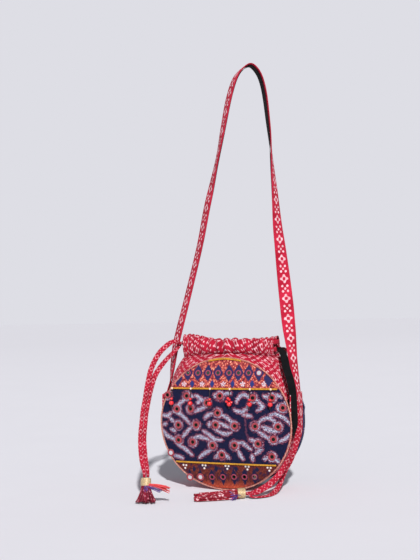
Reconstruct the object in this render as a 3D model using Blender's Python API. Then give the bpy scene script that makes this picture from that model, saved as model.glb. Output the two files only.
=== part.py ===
"""Round potli sling bag: two decorated discs on a gusset, a gathered drawstring mouth and a flat strap.

The origin is under the crown of the strap, where the bag hangs; +Z is up and -Y is the bag's front.
The places below are measured from the foot of the bag, and the last step hangs them from the crown.
"""
import math

import bmesh
import bpy
from mathutils import Vector

MM = 0.001
GAP = 0.3 * MM                   # air between two pieces that touch

# strap
CROWN_X = 43.0 * MM              # the strap leans to the right as it hangs
CROWN_Z = 598.5 * MM             # underside of the crown above the foot of the bag
STRAP_WIDTH = 20.0 * MM
STRAP_THICK = 2.2 * MM
LINING_WIDTH = 14.0 * MM
LINING_THICK = 0.6 * MM
LINING_GAP = 0.9 * MM            # the twist brings the two cloths closer in places
STRAP_ROWS = 76
STRAP_TOP_Z = CROWN_Z + LINING_THICK + LINING_GAP + STRAP_THICK / 2

# decorated discs
RIM_X = 98.5 * MM                # half width of the disc, to the middle of its rim cord
RIM_Z = 92.4 * MM                # half height
RIM_CORD = 1.4 * MM              # radius of the rim cord
DISC_THICK = 2.0 * MM
DISC_DOME = 3.5 * MM
BACK_THICK = 1.6 * MM
LIP_DEPTH = 10.0 * MM            # the back disc turns forward over the gusset by this much
LIP_TURN = 5.2 * MM              # and is straight beyond this depth
LIP_OUT = 0.022                  # share of the disc by which the lip stands outside it
LIP_END_RISE = 0.24              # the lip ends at this sine of the angle up from the disc's middle
LIP_FADE = 0.18
LIP_LEAVES = 0.24                # share of the lip at which its edge leaves the gusset
BODY_DEPTH = 68.0 * MM
TOP_LEAN = 0.33                  # share of the depth lost at the top of the discs
FOOT_LEAN = 0.10                 # and at their foot
LOWER_BRAID_Z = 39.0 * MM
UPPER_BRAID_Z = 143.5 * MM
TOP_BRAID_Z = 182.3 * MM
BACK_BRAID_Z = 100.0 * MM
BRAID_WIDTH = 2.6 * MM
BRAID_THICK = 1.6 * MM
SEAM_STEP = 0.4 * MM             # between two bands, under the braid

# gusset, gathered neck and casing
GUSSET_X = 95.5 * MM
GUSSET_THICK = 1.5 * MM
GUSSET_TOP_Z = 135.0 * MM
GUSSET_STEP = 4.0 * MM           # its back edge steps clear of the rim cord that leaves it
GUSSET_CLEARS = 15.0 * MM        # over this height above the disc's middle
CLOTH = 1.0 * MM
NECK_TUCK = 8.0 * MM             # the neck runs down behind the disc and inside the gusset
MOUTH_X = 69.0 * MM
MOUTH_Y = 12.5 * MM              # middle of the front casing, ahead of the middle of the bag
MOUTH_END_Y = 7.5 * MM
CASING_Z = 188.0 * MM
CASING_HIGH = 27.0 * MM
CASING_PUFF = 6.5 * MM
CASING_ROUND = 0.85              # below 1 the mouth is boxier than an oval
PLEATS = 24
PLEAT_DEEP = 2.0 * MM
INNER_PLEAT = 0.38               # share of it on the mouth's side
NECK_COLUMNS = 52
NECK_ROWS = 5
CASING_ROWS = 8

# drawstrings
HELD_HIGH = 6.6 * MM             # a drawstring bunches inside the casing
HELD_THICK = 1.8 * MM
HELD_Y = 9.3 * MM                # where it leaves the casing
HELD_END_X = 72.5 * MM
HELD_TURN_X = 65.5 * MM
HELD_TURN = 7.0 * MM
LEFT_HELD_Z = 207.0 * MM
RIGHT_HELD_Z = 196.6 * MM
STRAND_RADIUS = 1.9 * MM
STRAND_STEP = 9.0 * MM
STRAND_START = 1.2 * MM          # past the held stretch, room for the bend
WRAP_START = 0.8 * MM

# bead drops on the upper braid
DROP_PITCH = 30.0 * MM
DROP_COUNT = 6
DROP_SHIFT_X = -4.0 * MM
SEED_RADIUS = 1.6 * MM
SMALL_BEAD = 2.2 * MM
LARGE_BEAD = 3.3 * MM
THREAD_RADIUS = 0.5 * MM
THREAD_LONG = 11.0 * MM
BEAD_CLEAR = 1.2 * MM            # between a hanging bead and the disc

SIDE_GRIP = GUSSET_X + GUSSET_THICK / 2 + GAP + LINING_THICK + LINING_GAP + STRAP_THICK / 2
STRAP_FOOT_Z = 117.0 * MM
TURN_SCALE = 0.01                # a radian of twist counts as this much length when the line is evened
# side, depth, height and turn about Z in degrees of the strap's middle line, from foot to foot
STRAP_LINE = (
    (-SIDE_GRIP, 0, STRAP_FOOT_Z, 0), (-SIDE_GRIP, 0, GUSSET_TOP_Z, 0), (-0.0952, 0, 0.160, 4),
    (-0.0872, 0, 0.196, 10), (-0.0807, 0, 0.222, 26), (-0.0668, 0, 0.269, 38), (-0.0455, 0, 0.342, 40),
    (-0.0267, -0.002, 0.413, 42), (-0.0104, -0.004, 0.470, 30), (0.0000, -0.005, 0.513, 32),
    (0.0109, -0.006, 0.555, 30), (0.0210, -0.005, 0.583, 32), (0.0320, -0.003, 0.5965, 34),
    (CROWN_X, 0, STRAP_TOP_Z, 35), (0.0518, 0.003, 0.5930, 36), (0.0583, 0.005, 0.577, 36),
    (0.0631, 0.006, 0.549, 36), (0.0674, 0.005, 0.506, 30), (0.0708, 0.003, 0.463, 18),
    (0.0762, 0, 0.378, -9), (0.0800, 0, 0.336, -22), (0.0860, 0, 0.265, -46), (0.0885, 0, 0.230, -42),
    (0.0915, 0, 0.200, -28), (0.0945, 0, 0.170, -14), (SIDE_GRIP, 0, GUSSET_TOP_Z, 0),
    (SIDE_GRIP, 0, STRAP_FOOT_Z, 0))

# wraps that gather each pair of drawstring ends
LEFT_WRAP = Vector((-77.3, -129.0, 27.0)) * MM
RIGHT_WRAP = Vector((38.5, -74.5, 6.3)) * MM
WRAP_LONG = 11.0 * MM
LEFT_WRAP_WIDE = 6.4 * MM
LEFT_FRINGE_FOOT = 4.2 * MM      # middle of the fringe's end, whose edge just clears the floor
RIGHT_WRAP_WIDE = 7.4 * MM
RIGHT_WRAP_HIGH = 5.0 * MM
RIGHT_AIM = Vector((-0.88, -0.475, 0))
STRAND_SIDE = 2.7 * MM

LEFT_FRONT_ROUTE = (
    (-80.0, -17.0, 207.5), (-87.0, -23.5, 204.0), (-99.0, -34.0, 191.0), (-106.0, -47.5, 170.8),
    (-105.5, -64.5, 143.0), (-103.0, -85.0, 111.5), (-97.0, -105.0, 80.9), (-89.0, -119.0, 58.7))
LEFT_BACK_ROUTE = (
    (-77.8, 8.6, 206.4), (-79.4, 1.0, 203.5), (-79.4, -9.5, 198.5), (-82.5, -18.0, 192.5),
    (-89.0, -26.0, 184.0), (-96.0, -36.0, 172.5), (-99.0, -46.5, 158.0), (-98.5, -61.0, 137.0),
    (-96.0, -79.0, 108.0), (-90.0, -98.5, 79.0), (-83.0, -112.5, 57.0))
RIGHT_FRONT_ROUTE = (
    (80.0, -11.8, 195.8), (86.0, -17.5, 187.0), (91.0, -23.2, 171.5), (96.5, -26.0, 156.0),
    (99.5, -26.2, 140.0), (100.2, -26.2, 115.0), (100.2, -26.2, 88.0), (95.8, -26.8, 60.0),
    (87.0, -30.5, 38.5), (73.5, -41.5, 19.5), (58.5, -55.5, 8.5), (50.0, -64.5, 6.0))
RIGHT_BACK_ROUTE = (
    (78.6, 7.5, 195.5), (81.6, -3.0, 188.5), (84.6, -11.5, 179.0), (90.0, -16.4, 166.0),
    (96.5, -17.4, 151.5), (102.0, -17.0, 130.0), (104.0, -15.5, 108.0), (104.0, -13.0, 85.0),
    (99.5, -12.5, 64.0), (90.5, -13.0, 45.0), (81.5, -15.5, 28.0), (76.0, -23.0, 12.0),
    (74.0, -37.0, 4.2), (69.5, -56.0, 2.2), (60.5, -68.0, 2.2), (52.5, -72.5, 3.4))

HANG = Vector((-CROWN_X, 0, -CROWN_Z))


def paint(name, colour, roughness, metallic=0.0):
    material = bpy.data.materials.new(name)
    material.use_nodes = True
    shader = material.node_tree.nodes["Principled BSDF"]
    shader.inputs["Base Color"].default_value = (*colour, 1)
    shader.inputs["Roughness"].default_value = roughness
    shader.inputs["Metallic"].default_value = metallic
    return material


def lay(name, mesh_maker, material, pivot=None):
    """A named piece, hung from the strap's crown, with its origin on its pivot if it has one."""
    bm = mesh_maker
    origin = pivot or Vector()
    bmesh.ops.translate(bm, verts=bm.verts, vec=-origin)
    bmesh.ops.recalc_face_normals(bm, faces=bm.faces)
    mesh = bpy.data.meshes.new(name)
    bm.to_mesh(mesh)
    bm.free()
    mesh.materials.append(material)
    mesh.shade_smooth()
    mesh.set_sharp_from_angle(angle=math.radians(50))
    piece = bpy.data.objects.new(name, mesh)
    piece.location = origin + HANG
    bpy.context.collection.objects.link(piece)
    return piece


def slab(outer, inner):
    """A closed sheet between two grids of points with as many rows and columns."""
    bm = bmesh.new()
    sides = [[[bm.verts.new(p) for p in row] for row in grid] for grid in (outer, inner)]
    rows, columns = len(outer), len(outer[0])
    for side in sides:
        for i in range(rows - 1):
            for j in range(columns - 1):
                bm.faces.new((side[i][j], side[i][j + 1], side[i + 1][j + 1], side[i + 1][j]))
    front, back = sides
    border = [(0, j) for j in range(columns)] + [(i, columns - 1) for i in range(1, rows)]
    border += [(rows - 1, j) for j in range(columns - 2, -1, -1)] + [(i, 0) for i in range(rows - 2, 0, -1)]
    for (i, j), (k, m) in zip(border, border[1:] + border[:1]):
        bm.faces.new((front[i][j], front[k][m], back[k][m], back[i][j]))
    return bm


def swept(rings, closed=False):
    """A tube through rings of points, capped at both ends unless it closes on itself."""
    bm = bmesh.new()
    loops = [[bm.verts.new(p) for p in ring] for ring in rings]
    pairs = list(zip(loops, loops[1:])) + ([(loops[-1], loops[0])] if closed else [])
    for a, b in pairs:
        for i in range(len(a)):
            j = (i + 1) % len(a)
            bm.faces.new((a[i], a[j], b[j], b[i]))
    if not closed:
        bm.faces.new(loops[0])
        bm.faces.new(loops[-1])
    return bm


def ring_at(centre, across, up, half_wide, half_high, sides, turn=0.5):
    points = []
    for i in range(sides):
        angle = 2 * math.pi * (i + turn) / sides
        points.append(centre + across * half_wide * math.cos(angle) + up * half_high * math.sin(angle))
    return points


def through(points, step):
    """Even points along a smooth curve through the given ones."""
    fine = []
    last = len(points) - 1
    for i in range(last):
        p0, p1, p2, p3 = (points[max(0, min(last, k))] for k in (i - 1, i, i + 1, i + 2))
        for n in range(16):
            t = n / 16
            fine.append(0.5 * (2 * p1 + (p2 - p0) * t + (2 * p0 - 5 * p1 + 4 * p2 - p3) * t * t
                               + (3 * p1 - p0 - 3 * p2 + p3) * t * t * t))
    fine.append(points[-1])
    lengths = [0.0]
    for a, b in zip(fine, fine[1:]):
        lengths.append(lengths[-1] + (b - a).length)
    count = max(2, round(lengths[-1] / step))
    even, k = [], 0
    for i in range(count + 1):
        want = lengths[-1] * i / count
        while k < len(fine) - 2 and lengths[k + 1] < want:
            k += 1
        share = (want - lengths[k]) / (lengths[k + 1] - lengths[k])
        even.append(fine[k].lerp(fine[k + 1], min(1, share)))
    return even


def half_depth(z):
    """Half the thickness of the bag at its discs' edges; it leans in at the top and the foot."""
    high = max(0.0, z - RIM_Z) / RIM_Z
    low = max(0.0, 0.45 - z / RIM_Z) / 0.45
    return BODY_DEPTH / 2 * (1 - TOP_LEAN * high ** 2 - FOOT_LEAN * low ** 2)


RIM_MID_Z = RIM_Z + RIM_CORD
DISC_X = RIM_X - RIM_CORD - GAP
DISC_Z = RIM_Z - RIM_CORD - GAP


def disc_y(x, z):
    """How far the face of a disc stands from the middle of the bag."""
    reach = min(1.0, (x / DISC_X) ** 2 + ((z - RIM_MID_Z) / DISC_Z) ** 2)
    return half_depth(z) + DISC_DOME * (1 - reach)


def lip_share(rise):
    """How much of the back disc's lip there is at a sine of the angle round it: none behind the neck."""
    return max(0.0, min(1.0, (LIP_END_RISE - rise) / LIP_FADE))


def side_reach(angle, lip, hold=1.0):
    """The cosine of an angle, held out at the upright sides of the gusset where there is a lip."""
    reach = math.cos(angle)
    if math.sin(angle) <= 0:
        return reach
    return reach + math.copysign(1 - abs(reach), reach) * min(1.0, lip / LIP_LEAVES) * hold


def shell(profile, thick_profile, side, wall, lipped=False, segments=44):
    """A dished round sheet: two layers of rings, joined at the edge. Side is -1 in front, 1 at the back."""
    bm = bmesh.new()
    layers = []
    for layer, skin in ((profile, 0), (thick_profile, wall)):
        rings = []
        for share, inset in layer:
            ring = []
            for i in range(segments):
                angle = 2 * math.pi * i / segments
                lip = lip_share(math.sin(angle)) if lipped else 0
                reach = share - (1 - lip) * LIP_OUT * share ** 8 if lipped else share
                x = reach * DISC_X * side_reach(angle, lip, share ** 8)
                z = RIM_MID_Z + reach * DISC_Z * math.sin(angle)
                ring.append(bm.verts.new((x, side * (disc_y(x, z) - skin - (inset - skin) * lip), z)))
            rings.append(ring)
        centre_inset = layer[0][1]
        centre = bm.verts.new((0, side * (disc_y(0, RIM_MID_Z) - centre_inset), RIM_MID_Z))
        for i in range(segments):
            j = (i + 1) % segments
            bm.faces.new((centre, rings[0][i], rings[0][j]))
            for a, b in zip(rings, rings[1:]):
                bm.faces.new((a[i], b[i], b[j], a[j]))
        layers.append(rings[-1])
    for i in range(segments):
        j = (i + 1) % segments
        bm.faces.new((layers[0][i], layers[0][j], layers[1][j], layers[1][i]))
    return bm


def band(name, maker, z_from, z_to, material):
    """The stretch of a disc between two heights."""
    bm = maker()
    for height, keep in ((z_from, 1), (z_to, -1)):
        if height is None:
            continue
        everything = bm.verts[:] + bm.edges[:] + bm.faces[:]
        bmesh.ops.bisect_plane(bm, geom=everything, plane_co=(0, 0, height), plane_no=(0, 0, keep),
                               dist=1e-6, clear_inner=True)
        bmesh.ops.holes_fill(bm, edges=[e for e in bm.edges if e.is_boundary], sides=0)
    return lay(name, bm, material)


def front_shell():
    profile = [(share, 0.0) for share in (0.3, 0.6, 0.85, 1.0)]
    return shell(profile, [(share, DISC_THICK) for share, inset in profile], -1, DISC_THICK)


def back_shell():
    edge = 1 + LIP_OUT
    outer = [(0.4, 0.0), (0.75, 0.0), (0.94, 0.0), (0.99, 1.2 * MM), (edge - 0.004, 4.5 * MM),
             (edge, LIP_DEPTH)]
    wall = BACK_THICK / DISC_X
    inner = [(0.4, BACK_THICK), (0.75, BACK_THICK), (0.93, BACK_THICK), (0.975, 2.8 * MM),
             (edge - 0.004 - wall, LIP_TURN), (edge - wall, LIP_DEPTH)]
    return shell(outer, inner, 1, BACK_THICK, lipped=True)


def edge_cord(name, side, material, lipped=False, segments=48):
    """A cord round the edge of a disc; at the back it runs ahead of the lip."""
    thick = BACK_THICK if lipped else DISC_THICK
    rings = []
    for i in range(segments):
        angle = 2 * math.pi * i / segments
        out = Vector((math.cos(angle), 0, math.sin(angle)))
        lip = lip_share(out.z) if lipped else 0
        past = min(1.0, lip / 0.15)
        edge = thick + (LIP_DEPTH - thick) * lip
        inset = (edge + GAP + RIM_CORD) * past + thick / 2 * (1 - past)
        x, z = RIM_X * side_reach(angle, lip), RIM_MID_Z + RIM_Z * out.z
        centre = Vector((x, side * (half_depth(z) - inset), z))
        rings.append(ring_at(centre, out, Vector((0, 1, 0)), RIM_CORD, RIM_CORD, 6))
    return lay(name, swept(rings, closed=True), material)


def braid(name, z, side, material, count=18):
    """A half round braid across a disc, on its face."""
    half = DISC_X * math.sqrt(1 - ((z - RIM_MID_Z) / DISC_Z) ** 2) - 1.5 * MM
    rings = []
    for i in range(count + 1):
        x = half * (2 * i / count - 1)
        face = max(disc_y(x, z + BRAID_WIDTH / 2), disc_y(x, z - BRAID_WIDTH / 2), disc_y(x, z)) + GAP
        profile = ((-0.5, 0), (-0.42, 0.7), (0, 1), (0.42, 0.7), (0.5, 0))
        rings.append([Vector((x, side * (face + BRAID_THICK * out), z + BRAID_WIDTH * up))
                      for up, out in profile])
    return lay(name, swept(rings), material)


def gusset(material):
    """The strip between the discs, from one side of the neck under the bag to the other."""
    low_z = RIM_Z - (RIM_X - GUSSET_X)
    line = [(GUSSET_X, GUSSET_TOP_Z), (GUSSET_X, (GUSSET_TOP_Z + RIM_MID_Z) / 2)]
    for i in range(31):
        angle = -math.pi * i / 30
        line.append((GUSSET_X * math.cos(angle), RIM_MID_Z + low_z * math.sin(angle)))
    line += [(-x, z) for x, z in reversed(line[:2])]
    outer, inner = [], []
    for i, (x, z) in enumerate(line):
        before, after = line[max(0, i - 1)], line[min(len(line) - 1, i + 1)]
        out = Vector((before[1] - after[1], 0, after[0] - before[0])).normalized()
        front = half_depth(z) - DISC_THICK / 2 - RIM_CORD - GAP
        rise = max(0.0, min(1.0, (z - RIM_MID_Z) / GUSSET_CLEARS))
        back = half_depth(z) - LIP_TURN - GAP - GUSSET_STEP * rise
        row_out, row_in = [], []
        for j in range(5):
            y = -front + (front + back) * j / 4
            row_out.append(Vector((x, y, z)) + out * GUSSET_THICK / 2)
            row_in.append(Vector((x, y, z)) - out * GUSSET_THICK / 2)
        outer.append(row_out)
        inner.append(row_in)
    return lay("gusset", slab(outer, inner), material)


def pleat(turn):
    """Uneven gathers along the mouth, from -1 to 1."""
    wave = math.sin(PLEATS * turn + 1.1 * math.sin(2.3 * turn))
    return 0.72 * wave + 0.28 * math.sin(PLEATS * 1.63 * turn + 0.8)


def neck_point(turn, climb, layer):
    """A point of the gathered neck below the casing. Layer is 0 outside and 1 inside."""
    boxy = 0.5 + 0.35 * climb
    side, ahead = math.sin(turn), math.cos(turn)
    low_x = GUSSET_X - GUSSET_THICK / 2 - GAP
    flat = math.copysign(abs(side) ** boxy, side)
    x = flat * (low_x + (MOUTH_X - low_x) * climb ** 2.6)
    reach = min(1.0, abs(flat * low_x) / RIM_X)
    arc_z = RIM_MID_Z + RIM_Z * math.sqrt(1 - reach ** 2)
    low_z = max(arc_z, GUSSET_TOP_Z) - NECK_TUCK
    z = low_z + (CASING_Z - low_z) * climb
    deep = half_depth(z) - DISC_THICK - 2 * GAP
    deep += (MOUTH_Y - deep) * climb ** 1.3
    end_y = GAP / 2 + (MOUTH_END_Y - GAP / 2) * climb ** 4
    y = end_y + (deep - end_y) * max(0.0, ahead) ** boxy
    y += PLEAT_DEEP * climb ** 3 * pleat(turn) * max(0.0, ahead)
    thin = CLOTH * layer
    return Vector((x - math.copysign(thin * abs(side) ** 4, side), -(y - thin * max(0.0, ahead) ** 0.5), z))


def casing_middle(side):
    """How far the middle of a casing stands ahead of the bag's middle, at a share of the mouth's width."""
    ahead = max(0.0, 1 - min(1.0, side) ** (2 / CASING_ROUND)) ** (CASING_ROUND / 2)
    return MOUTH_END_Y + (MOUTH_Y - MOUTH_END_Y) * ahead


def casing_point(turn, roll, layer):
    """A point of the folded hem that holds the drawstrings, round from its outer to its inner seam."""
    side = abs(math.sin(turn)) ** CASING_ROUND
    x = MOUTH_X * math.copysign(side, turn)
    middle = casing_middle(side)
    gather = pleat(turn) * max(0.0, math.cos(turn)) ** CASING_ROUND
    puff = CASING_PUFF - CLOTH * layer
    high = CASING_HIGH / 2 - CLOTH * layer
    out = math.sin(roll) * (puff + PLEAT_DEEP * gather * (1.0 if math.sin(roll) > 0 else INNER_PLEAT))
    z = CASING_Z + CASING_HIGH / 2 - high * math.cos(roll)
    z += PLEAT_DEEP * 0.8 * gather * max(0.0, -math.cos(roll))
    return Vector((x, -(middle + out), z))


def neck(name, side, material):
    """Half of the red cloth above the discs: a gathered sheet, folded at the top into a casing."""
    rolls = [math.radians(28 + 304 * i / (CASING_ROWS - 1)) for i in range(CASING_ROWS)]
    grids = []
    for layer in (0, 1):
        grid = []
        for i in range(NECK_ROWS):
            climb = 0.97 * i / (NECK_ROWS - 1)
            grid.append([neck_point(turn_at(j), climb, layer) for j in range(NECK_COLUMNS)])
        for roll in rolls:
            grid.append([casing_point(turn_at(j), roll, layer) for j in range(NECK_COLUMNS)])
        grids.append([[Vector((p.x, -side * p.y, p.z)) for p in row] for row in grid])
    return lay(name, slab(*grids), material)


def turn_at(column):
    return math.radians(-89.5 + 179 * column / (NECK_COLUMNS - 1))


def held_string(name, z, turn_side, material):
    """The stretch of a drawstring inside both casings, with its turn at the far side of the mouth."""
    line = [(-HELD_END_X, HELD_Y)]
    line += [(share * MOUTH_X, casing_middle(abs(share))) for share in (-0.9, -0.65, -0.3, 0.3, 0.65, 0.85)]
    for i in range(9):
        angle = math.pi / 2 - math.pi * i / 8
        line.append((HELD_TURN_X + HELD_TURN * math.cos(angle), HELD_Y * math.sin(angle)))
    line += [(x, -y) for x, y in reversed(line[:7])]
    rings = []
    for i, (x, y) in enumerate(line):
        before, after = line[max(0, i - 1)], line[min(len(line) - 1, i + 1)]
        across = Vector((before[1] - after[1], after[0] - before[0], 0)).normalized() * HELD_THICK / 2
        spot = Vector((x, y, z))
        high = Vector((0, 0, HELD_HIGH / 2))
        ring = [spot - across - high, spot + across - high, spot + across + high, spot - across + high]
        rings.append([Vector((turn_side * p.x, p.y, p.z)) for p in ring])
    return lay(name, swept(rings), material)


def strand(name, points, material):
    """A free stretch of drawstring, as a plain tube along its route."""
    curve = bpy.data.curves.new(name, "CURVE")
    curve.dimensions = "3D"
    curve.bevel_depth = STRAND_RADIUS
    curve.bevel_resolution = 2
    curve.use_fill_caps = True
    even = through([Vector(p) for p in points], STRAND_STEP)
    spline = curve.splines.new("POLY")
    spline.points.add(len(even) - 1)
    for knot, place in zip(spline.points, even):
        knot.co = (*(place + HANG), 1)
    curve.materials.append(material)
    piece = bpy.data.objects.new(name, curve)
    bpy.context.collection.objects.link(piece)
    return piece


def strap_frame():
    """Places along the strap with the direction across it and the one out of its printed face."""
    marks = [Vector((x, y, z, math.radians(turn) * TURN_SCALE)) for x, y, z, turn in STRAP_LINE]
    length = sum((b - a).length for a, b in zip(marks, marks[1:]))
    even = through(marks, length / STRAP_ROWS)
    frames = []
    for i, mark in enumerate(even):
        before, after = even[max(0, i - 1)], even[min(len(even) - 1, i + 1)]
        along = (after.to_3d() - before.to_3d()).normalized()
        turn = mark.w / TURN_SCALE
        across = Vector((math.sin(turn), -math.cos(turn), 0))
        across = (across - along * across.dot(along)).normalized()
        frames.append((mark.to_3d(), across, across.cross(along).normalized()))
    return frames


def strap_layer(name, width, thick, sink, columns, material, skip=0):
    """One cloth of the strap; sink is how far its middle lies inside the strap's own."""
    frames = strap_frame()
    frames = frames[skip:len(frames) - skip]
    outer, inner = [], []
    for centre, across, out in frames:
        spread = [centre + across * width * (j / (columns - 1) - 0.5) for j in range(columns)]
        outer.append([p + out * (thick / 2 - sink) for p in spread])
        inner.append([p - out * (thick / 2 + sink) for p in spread])
    return lay(name, slab(outer, inner), material)


def ball(centre, radius, segments=8, rings=6):
    bm = bmesh.new()
    bmesh.ops.create_uvsphere(bm, u_segments=segments, v_segments=rings, radius=radius)
    bmesh.ops.translate(bm, verts=bm.verts, vec=centre)
    return bm


def bead_drop(number, x, colours):
    """A seed bead on the braid, and a thread with a small and a large bead that swings from it."""
    face = disc_y(x, UPPER_BRAID_Z) + GAP + BRAID_THICK + GAP
    seat = Vector((x, -(face + SEED_RADIUS + 0.2 * MM), UPPER_BRAID_Z))
    small_z = UPPER_BRAID_Z - SEED_RADIUS - THREAD_LONG - SMALL_BEAD
    large_z = small_z - SMALL_BEAD - LARGE_BEAD - GAP
    hang_y = -(max(disc_y(x, large_z), disc_y(x * 0.88, large_z)) + BEAD_CLEAR + LARGE_BEAD)
    foot = Vector((x, hang_y, large_z))
    down = (foot - seat).normalized()
    small = seat + down * (SEED_RADIUS + THREAD_LONG + SMALL_BEAD)
    across = Vector((1, 0, 0))
    thread_ends = (seat + down * (SEED_RADIUS + GAP), small - down * (SMALL_BEAD + GAP))
    thread = swept([ring_at(p, across, across.cross(down), THREAD_RADIUS, THREAD_RADIUS, 6)
                    for p in thread_ends])
    title = "drop_%d" % number
    lay(title + "_seed_bead", ball(seat, SEED_RADIUS), colours["seed"], seat)
    lay(title + "_thread", thread, colours["thread"], seat)
    lay(title + "_small_bead", ball(small, SMALL_BEAD), colours["coral"], seat)
    lay(title + "_large_bead", ball(foot, LARGE_BEAD, 10, 7), colours["coral"], seat)


def fringe(name, start, aim, flat, sizes, flutes, material):
    """A bundle of cloth strips: a fluted solid that spreads from its wrap."""
    across = aim.cross(flat).normalized()
    rings = []
    for reach, wide, high in sizes:
        ring = []
        for i in range(20):
            angle = 2 * math.pi * (i + 0.5) / 20
            ripple = 1 + 0.10 * math.cos(flutes * angle) * min(1.0, reach / (8 * MM))
            ring.append(start + aim * reach + across * wide * ripple * math.cos(angle)
                        + flat * high * ripple * math.sin(angle))
        rings.append(ring)
    return lay(name, swept(rings), material)


def wrap(name, centre, aim, flat, wide, high, material):
    across = aim.cross(flat).normalized()
    sections = ((-0.5, 0.92), (-0.3, 1.0), (0.3, 1.0), (0.5, 0.92))
    rings = [ring_at(centre + aim * WRAP_LONG * at, across, flat, wide * size, high * size, 12)
             for at, size in sections]
    return lay(name, swept(rings), material)


def strand_points(start, route, end, arrive):
    """A route straight out of the casing, through its own points, to its end at a wrap."""
    straight = start + Vector((math.copysign(2.5 * MM, start.x), 0, 0))
    return [start, straight] + [Vector(p) * MM for p in route] + [end - arrive * 6 * MM, end]


def tassels(colours):
    down, ahead = Vector((0, 0, -1)), Vector((0, -1, 0))
    tilt = (Vector((2.4, -7.0, -22.0))).normalized()
    flat = tilt.cross(Vector((1, 0, 0))).normalized()
    wrap("left_tassel_wrap", LEFT_WRAP, tilt, flat, LEFT_WRAP_WIDE, LEFT_WRAP_WIDE * 0.8, colours["zari"])
    top = LEFT_WRAP - tilt * (WRAP_LONG / 2 + WRAP_START)
    front = top + tilt.cross(flat) * -STRAND_SIDE
    back = top + tilt.cross(flat) * STRAND_SIDE
    if front.x > back.x:
        front, back = back, front
    out_x = HELD_END_X + STRAND_START
    strand("left_drawstring_front_end", strand_points(
        Vector((-out_x, -HELD_Y, LEFT_HELD_Z)), LEFT_FRONT_ROUTE, front, tilt), colours["red"])
    strand("left_drawstring_back_end", strand_points(
        Vector((-out_x, HELD_Y, LEFT_HELD_Z)), LEFT_BACK_ROUTE, back, tilt), colours["red"])
    start = LEFT_WRAP + tilt * (WRAP_LONG / 2 + GAP)
    drop = (start.z - LEFT_FRINGE_FOOT) / -tilt.z
    fringe("left_tassel_fringe", start, tilt, flat,
           ((0, 5.6 * MM, 4.4 * MM), (drop * 0.4, 8.0 * MM, 6.0 * MM), (drop * 0.75, 12.0 * MM, 7.5 * MM),
            (drop, 15.5 * MM, 9.0 * MM)), 7, colours["wine"])
    side = Vector((0.96, 0.1, -0.26)).normalized()
    fringe("left_tassel_threads", LEFT_WRAP + Vector((LEFT_WRAP_WIDE + 0.5 * MM, -0.2 * MM, -3.0 * MM)), side,
           Vector((0, 0, 1)), ((0, 2.0 * MM, 1.6 * MM), (12 * MM, 3.6 * MM, 2.2 * MM),
                               (26 * MM, 4.6 * MM, 1.6 * MM)), 5, colours["coral_thread"])

    level = Vector((0, 0, 1))
    wrap("right_tassel_wrap", RIGHT_WRAP, RIGHT_AIM, level, RIGHT_WRAP_WIDE, RIGHT_WRAP_HIGH, colours["zari"])
    end = RIGHT_WRAP - RIGHT_AIM * (WRAP_LONG / 2 + WRAP_START)
    beside = RIGHT_AIM.cross(level).normalized() * STRAND_SIDE
    strand("right_drawstring_front_end", strand_points(
        Vector((out_x, -HELD_Y, RIGHT_HELD_Z)), RIGHT_FRONT_ROUTE, end + beside, RIGHT_AIM), colours["red"])
    strand("right_drawstring_back_end", strand_points(
        Vector((out_x, HELD_Y, RIGHT_HELD_Z)), RIGHT_BACK_ROUTE, end - beside, RIGHT_AIM), colours["red"])
    start = RIGHT_WRAP + RIGHT_AIM * (WRAP_LONG / 2 + GAP)
    lower = Vector((-0.86, -0.46, -0.035)).normalized()
    fringe("right_tassel_fringe", start, lower, level,
           ((0, 6.4 * MM, 4.4 * MM), (10 * MM, 8.6 * MM, 4.6 * MM), (30 * MM, 10.5 * MM, 4.2 * MM),
            (54 * MM, 11.5 * MM, 3.4 * MM)), 6, colours["red"])
    spot = RIGHT_WRAP + Vector((1.8, -11.9, -3.4)) * MM
    fringe("right_tassel_threads", spot, Vector((-0.9, -0.43, 0)).normalized(), level,
           ((0, 2.4 * MM, 2.0 * MM), (7 * MM, 3.4 * MM, 2.2 * MM), (13 * MM, 2.2 * MM, 1.4 * MM)),
           5, colours["blue_thread"])


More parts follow.
